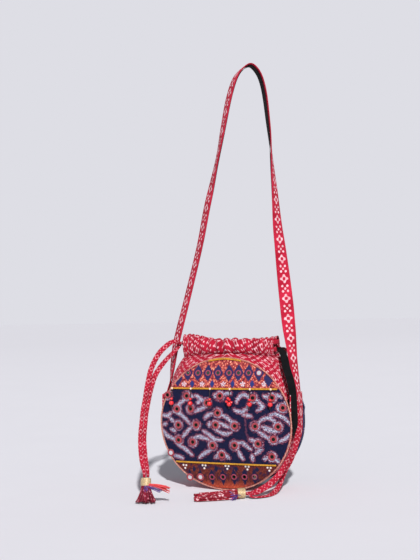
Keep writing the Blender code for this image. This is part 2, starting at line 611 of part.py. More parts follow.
def build():
    for thing in list(bpy.data.objects):
        bpy.data.objects.remove(thing, do_unlink=True)
    colours = {
        "red": paint("red printed cotton", (0.52, 0.02, 0.06), 0.85),
        "black": paint("black cotton lining", (0.006, 0.006, 0.007), 0.9),
        "upper": paint("salmon woven zari cloth", (0.72, 0.21, 0.12), 0.7),
        "navy": paint("navy ikat cotton", (0.017, 0.02, 0.09), 0.85),
        "rust": paint("rust woven cloth", (0.26, 0.06, 0.03), 0.8),
        "yellow": paint("golden yellow braid", (0.72, 0.38, 0.02), 0.7),
        "peach": paint("peach rim cord", (0.72, 0.26, 0.16), 0.75),
        "seed": paint("gold seed bead", (0.75, 0.5, 0.25), 0.3, 0.8),
        "thread": paint("dark bead thread", (0.03, 0.01, 0.012), 0.8),
        "coral": paint("coral red glass bead", (0.75, 0.01, 0.015), 0.15),
        "zari": paint("gold thread wrap", (0.62, 0.4, 0.16), 0.4, 0.4),
        "wine": paint("wine cotton strips", (0.2, 0.008, 0.03), 0.85),
        "coral_thread": paint("coral cotton thread", (0.75, 0.08, 0.06), 0.8),
        "blue_thread": paint("blue and purple thread", (0.08, 0.04, 0.3), 0.8)}

    step = SEAM_STEP / 2
    band("front_lower_band", front_shell, None, LOWER_BRAID_Z - step, colours["rust"])
    band("front_middle_band", front_shell, LOWER_BRAID_Z + step, UPPER_BRAID_Z - step, colours["navy"])
    band("front_upper_band", front_shell, UPPER_BRAID_Z + step, None, colours["upper"])
    band("back_lower_band", back_shell, None, BACK_BRAID_Z - step, colours["navy"])
    band("back_upper_band", back_shell, BACK_BRAID_Z + step, None, colours["navy"])
    braid("front_lower_braid", LOWER_BRAID_Z, -1, colours["yellow"])
    braid("front_upper_braid", UPPER_BRAID_Z, -1, colours["yellow"])
    braid("front_top_braid", TOP_BRAID_Z, -1, colours["yellow"], 6)
    braid("back_braid", BACK_BRAID_Z, 1, colours["yellow"])
    edge_cord("front_rim_cord", -1, colours["peach"])
    edge_cord("back_rim_cord", 1, colours["peach"], lipped=True)
    gusset(colours["red"])
    neck("front_neck", -1, colours["red"])
    neck("back_neck", 1, colours["red"])
    held_string("left_drawstring_held", LEFT_HELD_Z, 1, colours["red"])
    held_string("right_drawstring_held", RIGHT_HELD_Z, -1, colours["red"])
    strap_layer("strap_printed_cloth", STRAP_WIDTH, STRAP_THICK, 0, 3, colours["red"])
    strap_layer("strap_lining", LINING_WIDTH, LINING_THICK, STRAP_THICK / 2 + LINING_GAP + LINING_THICK / 2,
                3, colours["black"])
    for i in range(DROP_COUNT):
        bead_drop(i + 1, DROP_SHIFT_X + DROP_PITCH * (i - (DROP_COUNT - 1) / 2), colours)
    tassels(colours)


build()
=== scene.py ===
"""Round potli sling bag: decorated discs, gathered red mouth, flat strap and tasselled drawstrings.

Places are measured in metres from the foot of the bag, and HANG moves them under the strap's crown.
"""
import math

import bmesh
import bpy
import numpy as np
from mathutils import Matrix, Vector


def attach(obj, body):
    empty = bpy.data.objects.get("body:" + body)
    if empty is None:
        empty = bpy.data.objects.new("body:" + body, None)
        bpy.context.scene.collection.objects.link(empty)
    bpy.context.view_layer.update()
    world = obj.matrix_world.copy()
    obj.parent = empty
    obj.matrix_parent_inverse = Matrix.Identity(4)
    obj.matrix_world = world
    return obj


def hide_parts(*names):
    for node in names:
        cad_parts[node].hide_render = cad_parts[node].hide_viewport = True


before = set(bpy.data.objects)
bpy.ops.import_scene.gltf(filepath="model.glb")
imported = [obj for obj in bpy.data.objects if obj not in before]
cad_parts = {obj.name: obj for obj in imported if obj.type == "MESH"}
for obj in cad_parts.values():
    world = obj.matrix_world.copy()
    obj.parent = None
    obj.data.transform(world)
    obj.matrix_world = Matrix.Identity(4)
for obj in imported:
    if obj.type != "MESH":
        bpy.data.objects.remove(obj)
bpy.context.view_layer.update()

MM = 0.001
HANG = np.array((-0.043, 0.0, -0.5985))
scene = bpy.context.scene
scene.view_settings.view_transform = "Standard"


# camera: the photograph's place, a little to the bag's left and low

LENS, SENSOR = 62.8, 36.0
CAMERA_AT = (0.4836, -1.3029, -0.3175)
CAMERA_AHEAD = (-0.3924, 0.9197, 0.0115)
CAMERA_ROLL = math.radians(-1.803)


def stand_camera():
    data = bpy.data.cameras.new("camera")
    data.lens, data.sensor_width = LENS, SENSOR
    camera = bpy.data.objects.new("camera", data)
    scene.collection.objects.link(camera)
    ahead = Vector(CAMERA_AHEAD).normalized()
    right = ahead.cross(Vector((0, 0, 1))).normalized()
    up = right.cross(ahead)
    side = right * math.cos(CAMERA_ROLL) + up * math.sin(CAMERA_ROLL)
    top = up * math.cos(CAMERA_ROLL) - right * math.sin(CAMERA_ROLL)
    camera.matrix_world = Matrix([*zip(side, top, -ahead, CAMERA_AT), (0, 0, 0, 1)])
    scene.camera = camera


stand_camera()


# shader nodes

def linear(text):
    """An sRGB hex colour as the linear one that a shader reads."""
    parts = [int(text[i:i + 2], 16) / 255 for i in (1, 3, 5)]
    return (*[p / 12.92 if p <= 0.04045 else ((p + 0.055) / 1.055) ** 2.4 for p in parts], 1.0)


def socket(value):
    """The output that a node, or a node with its output's name or number, stands for."""
    if isinstance(value, bpy.types.Node):
        return value.outputs[0]
    if isinstance(value, tuple) and isinstance(value[0], bpy.types.Node):
        return value[0].outputs[value[1]]
    return None


def add(tree, kind, *values, stops=(), **settings):
    """A shader node with its settings and links. A word after its kind is its operation.

    Values fill its inputs in their order, or from one dictionary by name or number. Each is a plain
    value, a hex colour, a node, or a node and its output.
    """
    kind, _, operation = kind.partition(" ")
    made = tree.nodes.new("ShaderNode" + kind)
    if operation:
        made.operation = operation
    for name, value in settings.items():
        setattr(made, name, value)
    inputs = values[0] if values and isinstance(values[0], dict) else dict(enumerate(values))
    for name, value in inputs.items():
        if socket(value):
            tree.links.new(socket(value), made.inputs[name])
        else:
            made.inputs[name].default_value = linear(value) if isinstance(value, str) else value
    if stops:
        ramp = made.color_ramp.elements
        while len(ramp) < len(stops):
            ramp.new(0.5)
        for element, (place, colour) in zip(ramp, stops):
            element.position = place
            element.color = linear(colour)
    return made


def layered(tree, ground, *layers):
    """Colours laid over a ground one after the other, each a share from 0 to 1 and its colour."""
    for share, laid in layers:
        ground = add(tree, "Mix", {"Factor": share, 6: ground, 7: laid}, data_type="RGBA"), 2
    return ground


def streaks(tree, place, scale, detail, roughness=0.5, turn=0.0):
    """Noise drawn out along the threads."""
    pulled = add(tree, "Mapping", {"Vector": place, "Rotation": (0, 0, turn), "Scale": scale})
    return add(tree, "TexNoise", {"Vector": pulled, "Scale": 1.0, "Detail": detail, "Roughness": roughness})


def colour_with(tree, colour, shader):
    tree.links.new(socket(colour), shader.inputs["Base Color"])


def own_figures(tree):
    """The three numbers that a mesh carries at each point."""
    return add(tree, "SeparateXYZ", (add(tree, "Attribute", attribute_name="motif"), "Vector"))


# materials

MATT = {"Specular_IOR_Level": 0.12, "Sheen_Weight": 0.04}
PRINT_PITCH = 14.0 * MM


def start_material(name, roughness, metallic=0.0, **fixed):
    made = bpy.data.materials.new(name)
    made.use_nodes = True
    tree = made.node_tree
    shader = tree.nodes["Principled BSDF"]
    shader.inputs["Roughness"].default_value = roughness
    shader.inputs["Metallic"].default_value = metallic
    for key, value in fixed.items():
        shader.inputs[key.replace("_", " ")].default_value = value
    return made, tree, shader


def threads(tree, place, pitch, depth, shader, grain=0.25):
    """A plain weave's crossing threads as bump, with the slubs of a hand loom."""
    parts = add(tree, "SeparateXYZ", add(tree, "VectorMath MULTIPLY", place, (2 * math.pi / pitch,) * 3))
    warp, weft = [add(tree, "Math SINE", (parts, axis)) for axis in "XY"]
    weave = add(tree, "Math MULTIPLY", warp, weft)
    slub = add(tree, "TexNoise", {"Vector": place, "Scale": 0.35 / pitch, "Detail": 3.0})
    height = add(tree, "Math MULTIPLY_ADD", slub, grain * 6, weave)
    bump = add(tree, "Bump", {"Height": height, "Strength": 0.55, "Distance": depth})
    tree.links.new(bump.outputs[0], shader.inputs["Normal"])


def wear(tree, place, size, low, high):
    """Cloudy unevenness of dye between two colours, size in metres."""
    cloud = add(tree, "TexNoise", {"Vector": place, "Scale": 1 / size, "Detail": 4.0, "Roughness": 0.6})
    return layered(tree, low, (add(tree, "MapRange", cloud, 0.35, 0.68), high))


def printed_cotton(name, size, dot, low, high, pale, hem=1.0):
    """Block printed red cotton: matt, with rows of pale dotted flowers 14 mm apart, times a size.

    Past the hem, in metres from the middle of the cloth, it is plain.
    """
    made, tree, shader = start_material(name, 0.82, **MATT)
    weave = add(tree, "UVMap", uv_map="cloth")
    cloth = add(tree, "VectorMath MULTIPLY", weave, (1 / size, 1 / size, 1))
    cells = add(tree, "VectorMath MULTIPLY", cloth, (1 / PRINT_PITCH, 1 / PRINT_PITCH, 0))
    cells = add(tree, "VectorMath ADD", cells, (0.5, 0.5, 0))
    inner = add(tree, "VectorMath SUBTRACT", add(tree, "VectorMath FRACTION", cells), (0.5, 0.5, 0))
    inner = add(tree, "VectorMath MULTIPLY", inner, (PRINT_PITCH, PRINT_PITCH, 0))
    hand = add(tree, "TexNoise", {"Vector": cloth, "Scale": 260.0, "Detail": 1.0})
    hand = add(tree, "VectorMath SUBTRACT", (hand, "Color"), (0.5, 0.5, 0.5))
    hand = add(tree, "VectorMath MULTIPLY", hand, (1.6 * MM, 1.6 * MM, 0))
    folded = add(tree, "VectorMath ABSOLUTE", add(tree, "VectorMath ADD", inner, hand))
    middle = (add(tree, "VectorMath LENGTH", folded), "Value")
    corner, beside, above = [(add(tree, "VectorMath DISTANCE", folded, (x * MM, z * MM, 0)), "Value")
                             for x, z in ((3.7, 3.7), (4.2, 0), (0, 4.2))]
    five = add(tree, "Math SUBTRACT", add(tree, "Math MINIMUM", corner, middle), 1.45 * MM * dot)
    lobes = add(tree, "Math SUBTRACT", add(tree, "Math MINIMUM", beside, above), 1.7 * MM * dot)
    ring = add(tree, "Math ABSOLUTE", add(tree, "Math SUBTRACT", middle, 3.4 * MM))
    ring = add(tree, "Math SUBTRACT", ring, 0.6 * MM * dot)
    whole = add(tree, "SeparateXYZ", add(tree, "VectorMath FLOOR", cells))
    odd = add(tree, "Math FLOORED_MODULO", add(tree, "Math ADD", (whole, "X"), (whole, "Y")), 2.0)
    shape = add(tree, "Mix", {"Factor": odd, 2: five, 3: add(tree, "Math MINIMUM", lobes, ring)})
    dots = add(tree, "MapRange", shape, 0.35 * MM, -0.35 * MM)
    faded = add(tree, "TexNoise", {"Vector": weave, "Scale": 150.0})
    faded = add(tree, "MapRange", faded, 0.3, 0.62, 0.45, 1.0)
    aside = add(tree, "Math ABSOLUTE", (add(tree, "SeparateXYZ", weave), "X"))
    printed = add(tree, "MapRange", aside, hem + 0.2 * MM, hem - 0.2 * MM)
    dots = add(tree, "Math MULTIPLY", add(tree, "Math MULTIPLY", dots, faded), printed)
    colour_with(tree, layered(tree, wear(tree, weave, 20 * MM, low, high), (dots, pale)), shader)
    threads(tree, weave, 1.1 * MM, 0.14 * MM, shader, 0.35)
    return made


def plain_cloth(name, low, high, roughness=0.8):
    """A dyed plain weave on the piece's own cloth coordinates."""
    made, tree, shader = start_material(name, roughness, **MATT)
    cloth = add(tree, "UVMap", uv_map="cloth")
    colour_with(tree, wear(tree, cloth, 12 * MM, low, high), shader)
    threads(tree, cloth, 1.1 * MM, 0.12 * MM, shader)
    return made


def strip_cloth(name, low, high, light):
    """Torn cotton strips, each with its own depth of colour and pale frayed marks."""
    made, tree, shader = start_material(name, 0.85, **MATT)
    cloth = add(tree, "UVMap", uv_map="cloth")
    ground = layered(tree, low, ((own_figures(tree), "X"), high))
    marks = add(tree, "MapRange", add(tree, "TexNoise", {"Vector": cloth, "Scale": 230.0}), 0.56, 0.66)
    colour_with(tree, layered(tree, ground, (marks, light)), shader)
    threads(tree, cloth, 0.9 * MM, 0.15 * MM, shader)
    return made


def disc_place(tree):
    """Across and up the disc, with the depth left out."""
    parts = add(tree, "SeparateXYZ", (add(tree, "TexCoord"), "Object"))
    return add(tree, "CombineXYZ", {0: (parts, "X"), 1: (parts, "Z")})


def figured(tree, colour, *layers):
    """A ground with the mesh's figures laid on it, one after the other.

    Each layer is its number on the mesh, its edge and softness in millimetres, its blur and its colour.
    """
    figures = own_figures(tree)
    for number, edge, soft, blur, laid in layers:
        away = add(tree, "Math ADD", (figures, number), blur) if blur else (figures, number)
        colour = layered(tree, colour, (add(tree, "MapRange", away, edge + soft, edge - soft), laid))
    return colour


def navy_ikat():
    """Hand woven ikat: deep navy, its pale scrolls blurred along the threads, outlined in red stitches."""
    made, tree, shader = start_material("navy ikat cotton", 0.85, **MATT)
    place = disc_place(tree)
    ground = add(tree, "MapRange", streaks(tree, place, (1500.0, 240.0, 1.0), 3.0), 0.35, 0.7)
    ground = layered(tree, "#0e0e28", (ground, "#1b1e42"))
    pulled = streaks(tree, place, (330.0, 1300.0, 1.0), 3.0, 0.65, 0.5)
    blur = add(tree, "TexNoise", {"Vector": place, "Scale": 420.0})
    blur = add(tree, "MapRange", blur, 0.3, 0.7, -0.8, 0.8)
    blur = add(tree, "Math ADD", blur, add(tree, "MapRange", pulled, 0.34, 0.66, -2.3, 2.3))
    brush = add(tree, "TexNoise", {"Vector": place, "Scale": 520.0, "Detail": 4.0, "Roughness": 0.7})
    brush = add(tree, "Mix", {"Factor": 0.5, 2: brush, 3: pulled})
    brush = add(tree, "ValToRGB", brush, stops=(
        (0.41, "#1c1c3e"), (0.46, "#6d6f90"), (0.52, "#a9afc2"), (0.59, "#e6e8ee")))
    stitch = add(tree, "TexNoise", {"Vector": place, "Scale": 800.0, "Detail": 1.0})
    stitch = add(tree, "MapRange", stitch, 0.4, 0.6)
    stitch = layered(tree, "#7c1e2f", (stitch, "#c45a66"))
    colour_with(tree, figured(tree, ground, ("X", 0.9, 0.25, blur, stitch), ("X", -0.1, 0.5, blur, brush),
                              ("Y", 0.0, 0.3, blur, "#7c3f52")), shader)
    threads(tree, place, 1.0 * MM, 0.12 * MM, shader)
    return made


def zari_cloth():
    """Salmon silk woven with gold and cream metal thread: small leaves whose cream flecks are partly the
    thread's own colour and partly painted glitter.
    """
    made, tree, shader = start_material("salmon zari brocade", 0.6, Specular_IOR_Level=0.22)
    place = disc_place(tree)
    bend = add(tree, "TexNoise", {"Vector": place, "Scale": 160.0})
    bend = add(tree, "VectorMath MULTIPLY", (bend, "Color"), (4 * MM, 4 * MM, 0))
    bent = add(tree, "VectorMath ADD", place, bend)
    leaf = add(tree, "TexVoronoi", {"Vector": bent, "Scale": 430.0}, feature="F1")
    glint_and_weave_noise = add(tree, "TexNoise", {"Vector": place, "Scale": 700.0, "Detail": 3.0, "Roughness": 0.75})
    tone = add(tree, "Mix", {"Factor": 0.55, 2: (leaf, "Distance"), 3: glint_and_weave_noise})
    # painted highlight: the cream end of this ramp is partly painted glitter on the metal thread
    ground = add(tree, "ValToRGB", tone, stops=(
        (0.27, "#ffe9c6"), (0.35, "#f0a080"), (0.43, "#c9584c"), (0.54, "#9c3438"), (0.68, "#5c1826")))
    blur = add(tree, "MapRange", glint_and_weave_noise, 0.35, 0.65, -1.1, 1.1)
    navy = layered(tree, "#14133a", (glint_and_weave_noise, "#2c2a62"))
    colour_with(tree, figured(tree, ground, ("Y", 0.0, 0.3, blur, "#dcd0dc"), ("X", 0.0, 0.35, blur, navy),
                              ("Z", 0.0, 0.3, blur, "#213070")), shader)
    threads(tree, place, 1.0 * MM, 0.16 * MM, shader, 0.4)
    return made


def rust_cloth():
    """Rust brown hand loomed cloth, brighter at its foot, woven with dark blue and white figures."""
    made, tree, shader = start_material("rust woven brocade", 0.78, **MATT)
    place = disc_place(tree)
    streak = streaks(tree, place, (900.0, 330.0, 1.0), 4.0, 0.7)
    upper = add(tree, "ValToRGB", streak, stops=(
        (0.3, "#32101a"), (0.45, "#552020"), (0.58, "#783226"), (0.72, "#a66042")))
    foot = add(tree, "ValToRGB", streak, stops=(
        (0.3, "#6a1f20"), (0.45, "#9c3826"), (0.6, "#c0543a"), (0.75, "#dc8a5e")))
    low = add(tree, "MapRange", (add(tree, "SeparateXYZ", place), "Y"), -0.583, -0.592)
    patch = add(tree, "TexNoise", {"Vector": place, "Scale": 130.0, "Detail": 3.0})
    patch = add(tree, "MapRange", patch, 0.5, 0.6, 0.0, 0.75)
    blur = add(tree, "MapRange", streak, 0.35, 0.65, -0.9, 0.9)
    ground = layered(tree, upper, (patch, "#1c1c3e"), (low, foot))
    colour_with(tree, figured(tree, ground, ("X", 0.0, 0.3, blur, "#191a3a"),
                              ("Y", 0.0, 0.25, None, "#e6dcda"), ("Z", 0.0, 0.3, blur, "#4a1c28")), shader)
    threads(tree, place, 1.0 * MM, 0.14 * MM, shader, 0.35)
    return made


def spun_thread(name, low, high, roughness=0.6, metallic=0.0, size=1.6 * MM):
    """Twisted thread or cord: its fibres show as fine uneven streaks."""
    made, tree, shader = start_material(name, roughness, metallic)
    place = (add(tree, "TexCoord"), "Object")
    fibre = add(tree, "TexNoise", {"Vector": place, "Scale": 1 / size, "Detail": 4.0, "Roughness": 0.7})
    colour_with(tree, layered(tree, low, (add(tree, "MapRange", fibre, 0.36, 0.64), high)), shader)
    bump = add(tree, "Bump", {"Height": fibre, "Strength": 0.5, "Distance": 0.2 * MM})
    tree.links.new(bump.outputs[0], shader.inputs["Normal"])
    return made


def glass(name, low, high, roughness, metallic=0.0, **fixed):
    """Bead or mirror glass: smooth, with the faint cloud of hand made glass."""
    made, tree, shader = start_material(name, roughness, metallic, **fixed)
    place = (add(tree, "TexCoord"), "Object")
    cloud = add(tree, "TexNoise", {"Vector": place, "Scale": 350.0})
    colour_with(tree, layered(tree, low, (cloud, high)), shader)
    return made


# reds broken by pale dotted flowers; where the cloth is gathered or folded into a tape the print is finer,
# and painted shade makes its reds and flowers darker
red_print = printed_cotton("red block printed cotton", 1.0, 1.1, "#a8142e", "#cb2643", "#f6d0d6")
strap_print = printed_cotton("hemmed printed cotton band", 1.0, 1.12, "#a8142e", "#cb2643", "#f6d0d6",
                             7.9 * MM)
neck_print_shaded = printed_cotton("gathered printed cotton with painted shade", 0.9, 0.95, "#98122a", "#bd213b", "#efbcc5")
tape_print_shaded = printed_cotton("printed cotton tape with painted shade", 0.7, 0.72, "#931126", "#b41d36", "#e2949f")
# dull plain cloth: red at the strap's back and the held tapes, near black inside the strap and the tapes
red_plain = plain_cloth("plain red cotton", "#9a1329", "#b8223c")
black_cotton = plain_cloth("black cotton lining", "#050506", "#111114", 0.9)
# the disc's three cloths: dark with pale blurred scrolls, glittering salmon, and warm brown
navy_cloth = navy_ikat()
salmon_cloth = zari_cloth()
rust_weave = rust_cloth()
# cords and stitches: a soft sheen broken by fibres, bright yellow, pale peach, near black, and two reds
golden_braid = spun_thread("golden yellow rayon braid", "#9c6205", "#dfa51a", 0.55)
peach_cord = spun_thread("peach satin rim cord", "#a04e48", "#e2a391", 0.6, size=2.4 * MM)
navy_cord = spun_thread("navy rim cord", "#16163a", "#2c3060", 0.7)
ring_stitch = spun_thread("red silk buttonhole stitches", "#6f1a29", "#b94a55", 0.65, size=1.1 * MM)
upper_stitch = spun_thread("magenta silk buttonhole stitches", "#6a1c40", "#b54258", 0.6, size=1.1 * MM)
# mirrors: one glass in three copies, most with a painted dark reflection or a painted dull grey green
# reflection, and a few silvered ones that flash white
mirror_glass_painted_dark = glass("mirror glass with painted dark reflection", "#121a17", "#2c3d33", 0.12, 1.0)
mirror_glass_painted_grey = glass("mirror glass with painted grey green reflection", "#3a4640", "#5c6a62", 0.16, 1.0)
bright_mirror = glass("silvered mirror glass", "#e6e6ea", "#f8f8fa", 0.1, 1.0)
# beads: wet bright red and small pale highlights, on a thread that hardly shows
coral_glass = glass("coral red glass bead", "#d8101c", "#f2323a", 0.12, IOR=1.5, Coat_Weight=0.6,
                    Coat_Roughness=0.05)
seed_glass = glass("pale gold lined seed bead", "#e8b98a", "#fbe6d2", 0.2, IOR=1.5, Coat_Weight=0.5)
bead_thread = spun_thread("dark waxed bead thread", "#1a0a0c", "#35181a", 0.6)
# tassels: a cream gold gleam, strips from wine to red with pale frays, and bright tufts
zari_thread = spun_thread("gold zari thread", "#a07c4c", "#f0dcb4", 0.42, 0.35, size=0.9 * MM)
wine_strips = strip_cloth("wine cotton strips", "#5f1526", "#96263c", "#d98a98")
red_strips = strip_cloth("red cotton strips", "#741826", "#b02a3c", "#f0bcc2")
coral_threads = spun_thread("coral cotton thread", "#c8283a", "#f2605c", 0.7)
blue_threads = spun_thread("blue and purple embroidery thread", "#27306e", "#7a4a9c", 0.55, size=4 * MM)


# cloth meshes

def baked(bm, mesh):
    """Writes a bmesh into a mesh, or into a new one of that name, and frees it."""
    if isinstance(mesh, str):
        mesh = bpy.data.meshes.new(mesh)
    bm.to_mesh(mesh)
    bm.free()
    return mesh


def cloth_mesh(name, points, cloth=None, motif=None, wrap=False, caps=False, backs=None, turn=False):
    """A grid of cloth laid on rows of points. A wrapped one closes on itself, and caps close its ends."""
    if wrap:
        points = np.concatenate([points, points[:, :1]], axis=1)
        if cloth is not None and cloth.shape[1] < points.shape[1]:
            cloth = np.concatenate([cloth, cloth[:, :1]], axis=1)
    rows, columns = points.shape[:2]
    bm = bmesh.new()
    bmesh.ops.create_grid(bm, x_segments=columns - 1, y_segments=rows - 1, size=1.0)
    mesh = baked(bm, name)
    flat = np.empty(len(mesh.vertices) * 3)
    mesh.vertices.foreach_get("co", flat)
    flat = flat.reshape(-1, 3)
    across = np.rint((flat[:, 0] + 1) / 2 * (columns - 1)).astype(int)
    along = np.rint((flat[:, 1] + 1) / 2 * (rows - 1)).astype(int)
    mesh.vertices.foreach_set("co", (points[along, across] + HANG).ravel())
    loops = np.empty(len(mesh.loops), int)
    mesh.loops.foreach_get("vertex_index", loops)
    if cloth is not None:
        layer = mesh.uv_layers.new(name="cloth")
        layer.data.foreach_set("uv", cloth[along, across][loops].ravel())
    if motif is not None:
        values = mesh.attributes.new("motif", "FLOAT_VECTOR", "POINT")
        values.data.foreach_set("vector", np.asarray(motif, float)[along, across].ravel())
    if backs is not None:
        first = across[loops].reshape(-1, 4).min(axis=1)
        mesh.polygons.foreach_set("material_index", np.asarray(backs, int)[first])
    bm = bmesh.new()
    bm.from_mesh(mesh)
    if wrap:
        bmesh.ops.remove_doubles(bm, verts=bm.verts, dist=1e-7)
    if caps:
        bmesh.ops.holes_fill(bm, edges=[e for e in bm.edges if e.is_boundary], sides=0)
    if wrap:
        bmesh.ops.recalc_face_normals(bm, faces=bm.faces)
    if turn:
        bmesh.ops.reverse_faces(bm, faces=bm.faces)
    return baked(bm, mesh)


def joined(name, meshes):
    """Several meshes as one."""
    bm = bmesh.new()
    for mesh in meshes:
        bm.from_mesh(mesh)
        bpy.data.meshes.remove(mesh)
    return baked(bm, name)


def piece(name, data, materials, nodes=(), body="bag", thick=None):
    """A finished piece that rides on a body and stands for its CAD nodes."""
    made = bpy.data.objects.new(name, data)
    scene.collection.objects.link(made)
    for material in materials if isinstance(materials, (list, tuple)) else [materials]:
        data.materials.append(material)
    if isinstance(data, bpy.types.Mesh):
        data.shade_smooth()
    if thick:
        wall = made.modifiers.new("cloth thickness", "SOLIDIFY")
        wall.thickness = thick
        wall.offset = -1.0
    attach(made, body)
    if nodes:
        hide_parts(*nodes)
    return made


def unit(values):
    return values / np.linalg.norm(values, axis=-1, keepdims=True)


def reach_along(line):
    """How far along a line each of its points is."""
    return np.concatenate([[0], np.cumsum(np.linalg.norm(np.diff(line, axis=0), axis=1))])


def smooth_line(points, step):
    """Even places along a smooth curve through the given ones."""
    marks = np.asarray(points, float)
    padded = np.concatenate([marks[:1], marks, marks[-1:]])
    t = np.linspace(0, 1, 24, endpoint=False)[:, None]
    fine = []
    for p0, p1, p2, p3 in zip(padded, padded[1:], padded[2:], padded[3:]):
        fine.append(0.5 * (2 * p1 + (p2 - p0) * t + (2 * p0 - 5 * p1 + 4 * p2 - p3) * t ** 2
                           + (3 * p1 - p0 - 3 * p2 + p3) * t ** 3))
    fine = np.concatenate(fine + [marks[-1:]])
    reach = reach_along(fine)
    count = max(2, int(round(reach[-1] / step)))
    even = np.linspace(0, reach[-1], count + 1)
    return np.stack([np.interp(even, reach, fine[:, i]) for i in range(fine.shape[1])], axis=1)


def ribbon(line, across, out, width, thick, sides=20, curl=0.0, sag=None):
    """Rings of a flat band round its middle line, with each point's place on the cloth."""
    angle = 2 * math.pi * (np.arange(sides) + 0.5) / sides
    side = np.sign(np.cos(angle)) * np.abs(np.cos(angle)) ** 0.8
    rise = np.sign(np.sin(angle)) * np.abs(np.sin(angle)) ** 0.7
    width = np.broadcast_to(np.asarray(width, float), (len(line),))[:, None]
    a = side[None, :] * width / 2
    b = rise[None, :] * thick / 2 + curl * (side[None, :] ** 2)
    if sag is not None:
        b = b + sag
    rings = line[:, None] + across[:, None] * a[..., None] + out[:, None] * b[..., None]
    reach = reach_along(line)
    cloth = np.stack([a, np.broadcast_to(reach[:, None], a.shape)], axis=-1)
    backs = (np.sin(angle + math.pi / sides) < 0).astype(int)
    return rings, cloth, backs


def along_line(line):
    return unit(np.gradient(line, axis=0))


def across_and_out(line, facing):
    """A band's two directions along a line, from the way it faces."""
    along = along_line(line)
    across = unit(np.cross(along, facing))
    return across, np.cross(across, along)


def lines_curve(name, lines, radius, cyclic=False, sides=2):
    """Round threads along several lines, as one curve."""
    data = bpy.data.curves.new(name, "CURVE")
    data.dimensions = "3D"
    data.bevel_depth = radius
    data.bevel_resolution = sides
    data.use_fill_caps = True
    for line in lines:
        spline = data.splines.new("POLY")
        spline.points.add(len(line) - 1)
        places = np.concatenate([line + HANG, np.ones((len(line), 1))], axis=1)
        spline.points.foreach_set("co", places.ravel())
        spline.use_cyclic_u = cyclic
    return data


# free drawstring ends, first, because the camera and they decide each other

LEFT_WIDTH, RIGHT_FRONT_WIDTH, RIGHT_BACK_WIDTH = 7.6 * MM, 11.0 * MM, 9.0 * MM
TAPE_THICK = 1.3 * MM
HELD_OUT_X, HELD_OUT_Y = 73.7, 9.3
LEFT_HELD_Z, RIGHT_HELD_Z = 207.0, 196.6
TILT = unit(np.array((2.4, -7.0, -22.0)))
LEFT_WRAP = np.array((-77.3, -129.0, 27.0)) * MM
RIGHT_WRAP = np.array((38.5, -74.5, 6.3)) * MM
RIGHT_AIM = np.array((-0.88, -0.475, 0.0))
WRAP_LONG = 11.0 * MM
STRAND_SIDE = 2.7

LEFT_FLAT = unit(np.cross(TILT, (1.0, 0.0, 0.0)))
LEFT_SIDE = np.cross(TILT, LEFT_FLAT)
LEFT_TOP = (LEFT_WRAP - TILT * (WRAP_LONG / 2 + 0.8 * MM)) / MM
RIGHT_END = (RIGHT_WRAP - RIGHT_AIM * (WRAP_LONG / 2 + 0.8 * MM)) / MM
RIGHT_BESIDE = unit(np.cross(RIGHT_AIM, (0, 0, 1.0)))

LEFT_FRONT_ROUTE = (
    (-80.0, -16.5, 210.0), (-87.0, -23.0, 207.2), (-98.6, -33.5, 193.5), (-105.2, -47.5, 171.5),
    (-104.7, -64.5, 143.0), (-102.2, -85.0, 111.5), (-96.2, -105.0, 80.9), (-88.4, -119.0, 58.7))
LEFT_BACK_ROUTE = (
    (-77.8, 8.6, 207.4), (-79.4, 1.0, 205.5), (-79.9, -9.0, 201.0), (-83.5, -17.0, 194.5),
    (-90.6, -24.5, 185.0), (-98.6, -34.0, 172.5), (-102.8, -44.5, 158.0), (-102.9, -58.5, 137.0),
    (-100.4, -76.5, 108.0), (-94.2, -96.5, 79.0), (-85.6, -111.5, 57.0))
RIGHT_FRONT_ROUTE = (
    (80.0, -11.8, 195.8), (86.0, -17.5, 187.0), (91.0, -23.2, 171.5), (96.5, -26.0, 156.0),
    (99.5, -26.2, 140.0), (100.2, -26.2, 115.0), (100.2, -26.2, 88.0), (95.8, -26.8, 60.0),
    (87.0, -30.5, 38.5), (73.5, -41.5, 19.5), (58.5, -55.5, 8.5), (50.0, -64.5, 6.0))
RIGHT_BACK_ROUTE = (
    (78.6, 7.5, 195.5), (81.6, -3.0, 188.5), (84.6, -11.5, 179.0), (90.0, -16.4, 166.0),
    (95.5, -17.4, 151.5), (99.6, -17.0, 130.0), (101.3, -15.5, 108.0), (101.4, -13.0, 85.0),
    (97.6, -12.5, 64.0), (90.5, -13.0, 45.0), (81.5, -15.5, 28.0), (76.0, -23.0, 12.0),
    (74.0, -37.0, 4.2), (69.5, -56.0, 2.2), (60.5, -68.0, 2.2), (52.5, -72.5, 3.4))


def tape(name, start, route, end, arrive, facings, width):
    """A free drawstring end: a folded red tape, black inside, that faces where the facings say."""
    lead = (start[0] + math.copysign(2.5, start[0]), start[1], start[2])
    marks = np.array([start, lead, *route, tuple(end - arrive * 6.0), tuple(end)]) * MM
    line = smooth_line(marks, 1.6 * MM)
    share = np.linspace(0, 1, len(line))
    facing = np.stack([np.interp(share, [f[0] for f in facings], [f[1][i] for f in facings])
                       for i in range(3)], axis=1)
    across, out = across_and_out(line, facing)
    narrow = np.interp(share, (0, 0.04, 0.1, 0.42, 0.6, 0.93, 1), (0.6, 0.75, 1, 1, 0.78, 0.78, 0.5))
    wave = 0.35 * MM * np.sin(share * 41 + start[2])
    rings, cloth, backs = ribbon(line, across, out, width * narrow, TAPE_THICK, 20, -0.5 * MM,
                                 wave[:, None])
    mesh = cloth_mesh(name, rings, cloth, wrap=True, caps=True, backs=np.append(backs, 0))
    made = piece(name, mesh, [tape_print_shaded, black_cotton], [name.replace("_tape", "_end")])
    return made, line


